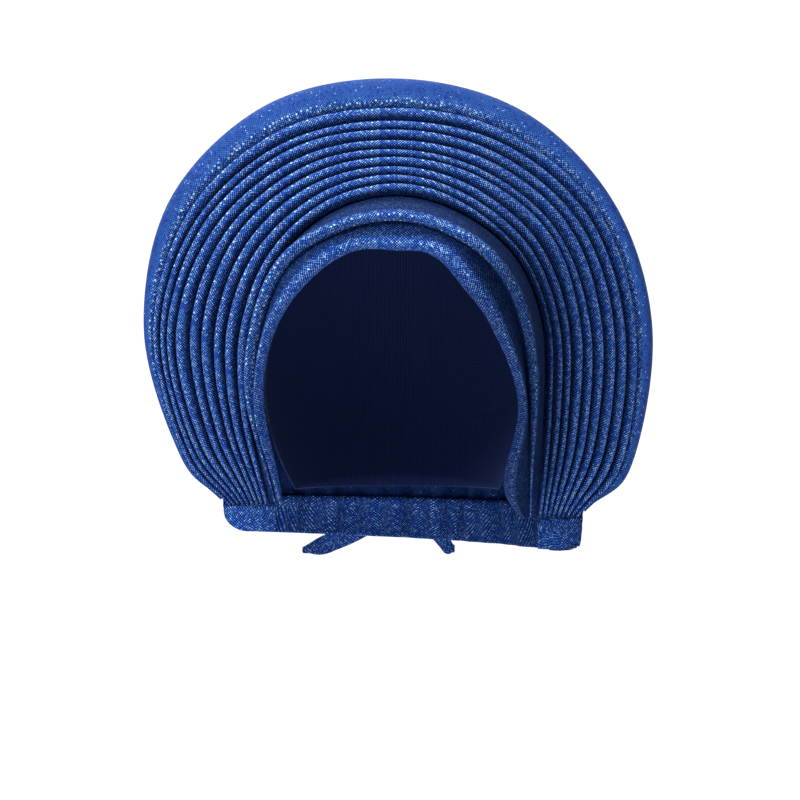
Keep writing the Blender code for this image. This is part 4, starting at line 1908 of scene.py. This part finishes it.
@dataclass
class Studio:
    """Plain pale floor that sweeps up behind, soft lights and the camera.

    Attributes:
        floor_level: Level of the floor.
        floor_front: How far it reaches in front.
        floor_half: Half its width.
        floor_colour: Its colour.
        floor_roughness: Its roughness.
        sweep_start: Where it begins to sweep up.
        sweep_radius: Radius of the sweep.
        sweep_steps: Faces in the sweep.
        wall_top: Height of the wall above the floor.
        aim: Point that the lights are turned to.
        lamps: The lights.
        sky: Colour of the light from all round.
        sky_strength: Its strength.
        pixel: Size of a pixel at the fan.
        picture: Width of the picture in pixels.
        picture_middle: Middle of the picture from the crown seat, in pixels.
        distance: Distance of the camera.
        sensor: Width of its sensor in millimetres.
    """

    floor_level: float = -0.400
    floor_front: float = -3.0
    floor_half: float = 4.0
    floor_colour: Colour = (0.86, 0.86, 0.87)
    floor_roughness: float = 0.9
    sweep_start: float = 0.9
    sweep_radius: float = 0.9
    sweep_steps: int = 16
    wall_top: float = 3.2
    aim: tuple[float, float, float] = (0.0, 0.0, -0.08)
    lamps: tuple[Lamp, ...] = (
        Lamp("key", (-1.15, -1.25, 1.15), 0.7, 40.0),
        Lamp("top", (-0.10, -0.50, 1.70), 0.7, 25.0),
        Lamp("fill", (1.30, -1.50, 0.90), 1.2, 3.5, (0.97, 0.98, 1.0)),
        Lamp("backdrop", (0.00, 0.60, 2.40), 1.6, 30.0),
    )
    sky: Colour = (0.92, 0.95, 1.0)
    sky_strength: float = 0.22
    pixel: float = 0.000548
    picture: int = 800
    picture_middle: tuple[int, int] = (3, -220)
    distance: float = 1.6
    sensor: float = 36.0

    def floor(self) -> None:
        """Floor with a curved sweep up behind."""
        profile = [(self.floor_front, 0.0), (self.sweep_start, 0.0)]
        for step in range(1, self.sweep_steps + 1):
            angle = math.pi / 2 * step / self.sweep_steps
            back = self.sweep_start + self.sweep_radius * math.sin(angle)
            profile.append((back, self.sweep_radius * (1 - math.cos(angle))))
        profile.append((self.sweep_start + self.sweep_radius, self.wall_top))
        sides = (-self.floor_half, self.floor_half)
        verts = [(x, y, self.floor_level + z) for y, z in profile for x in sides]
        faces = [(2 * k, 2 * k + 1, 2 * k + 3, 2 * k + 2) for k in range(len(profile) - 1)]
        mesh = bpy.data.meshes.new("studio_floor")
        mesh.from_pydata(verts, [], faces)
        mesh.shade_smooth()
        sketch = Sketch("pale_floor")
        sketch.feed(sketch.shader.inputs["Base Color"], (*self.floor_colour, 1.0))
        sketch.feed(sketch.shader.inputs["Roughness"], self.floor_roughness)
        mesh.materials.append(sketch.material)
        floor = bpy.data.objects.new("studio_floor", mesh)
        bpy.context.scene.collection.objects.link(floor)

    def camera(self) -> None:
        """Camera level with the face, as far away as the framing needs."""
        lens = bpy.data.cameras.new("camera")
        lens.sensor_width = self.sensor
        lens.lens = self.sensor * self.distance / (self.picture * self.pixel)
        holder = bpy.data.objects.new("camera", lens)
        right, up = self.picture_middle
        holder.location = (right * self.pixel, -self.distance, up * self.pixel)
        holder.rotation_euler = (math.pi / 2, 0, 0)
        bpy.context.scene.collection.objects.link(holder)
        bpy.context.scene.camera = holder

    def world(self) -> None:
        """Even light from all round."""
        world = bpy.data.worlds.new("studio_world")
        world.use_nodes = True
        sky = world.node_tree.nodes["Background"]
        sky.inputs["Color"].default_value = (*self.sky, 1.0)
        sky.inputs["Strength"].default_value = self.sky_strength
        bpy.context.scene.world = world

    def build(self) -> None:
        """Set up the floor, the lights, the world and the camera."""
        self.floor()
        self.camera()
        for lamp in self.lamps:
            lamp.hang(Vector(self.aim))
        self.world()
        bpy.context.scene.view_settings.view_transform = "Standard"
        bpy.context.scene.cycles.denoising_prefilter = "NONE"


def main() -> None:
    """Build the head tie piece by piece, then the studio round it."""
    logging.basicConfig(level=logging.INFO, format="%(name)s: %(message)s")
    layout = FoldLayout()
    weave = WeaveFinish().build()
    knit = KnitFinish().build()
    pieces = [
        UnderCap(layout, knit),
        BrowBand(layout, weave),
        UpperFold(layout, weave),
        PleatedFan(layout, weave),
        BackDrape(layout, weave),
        NapeBand(layout, weave),
        Cuff(layout, weave, inner=0.88 * layout.head.half, height=0.0140),
        Cuff(
            layout,
            weave,
            name="gele_right_cuff",
            node="right_cuff",
            side=Side.RIGHT,
            flat=(0.019, 0.044),
            area=0.0007,
            inner=1.02 * layout.head.half,
            height=0.0169,
            join=0.0168,
            shade=0.40,
            crease_depth=0.0009,
        ),
        NapeTie(layout, weave),
    ]
    for piece in pieces:
        piece.make()
    Studio().build()


if __name__ == "__main__":
    main()
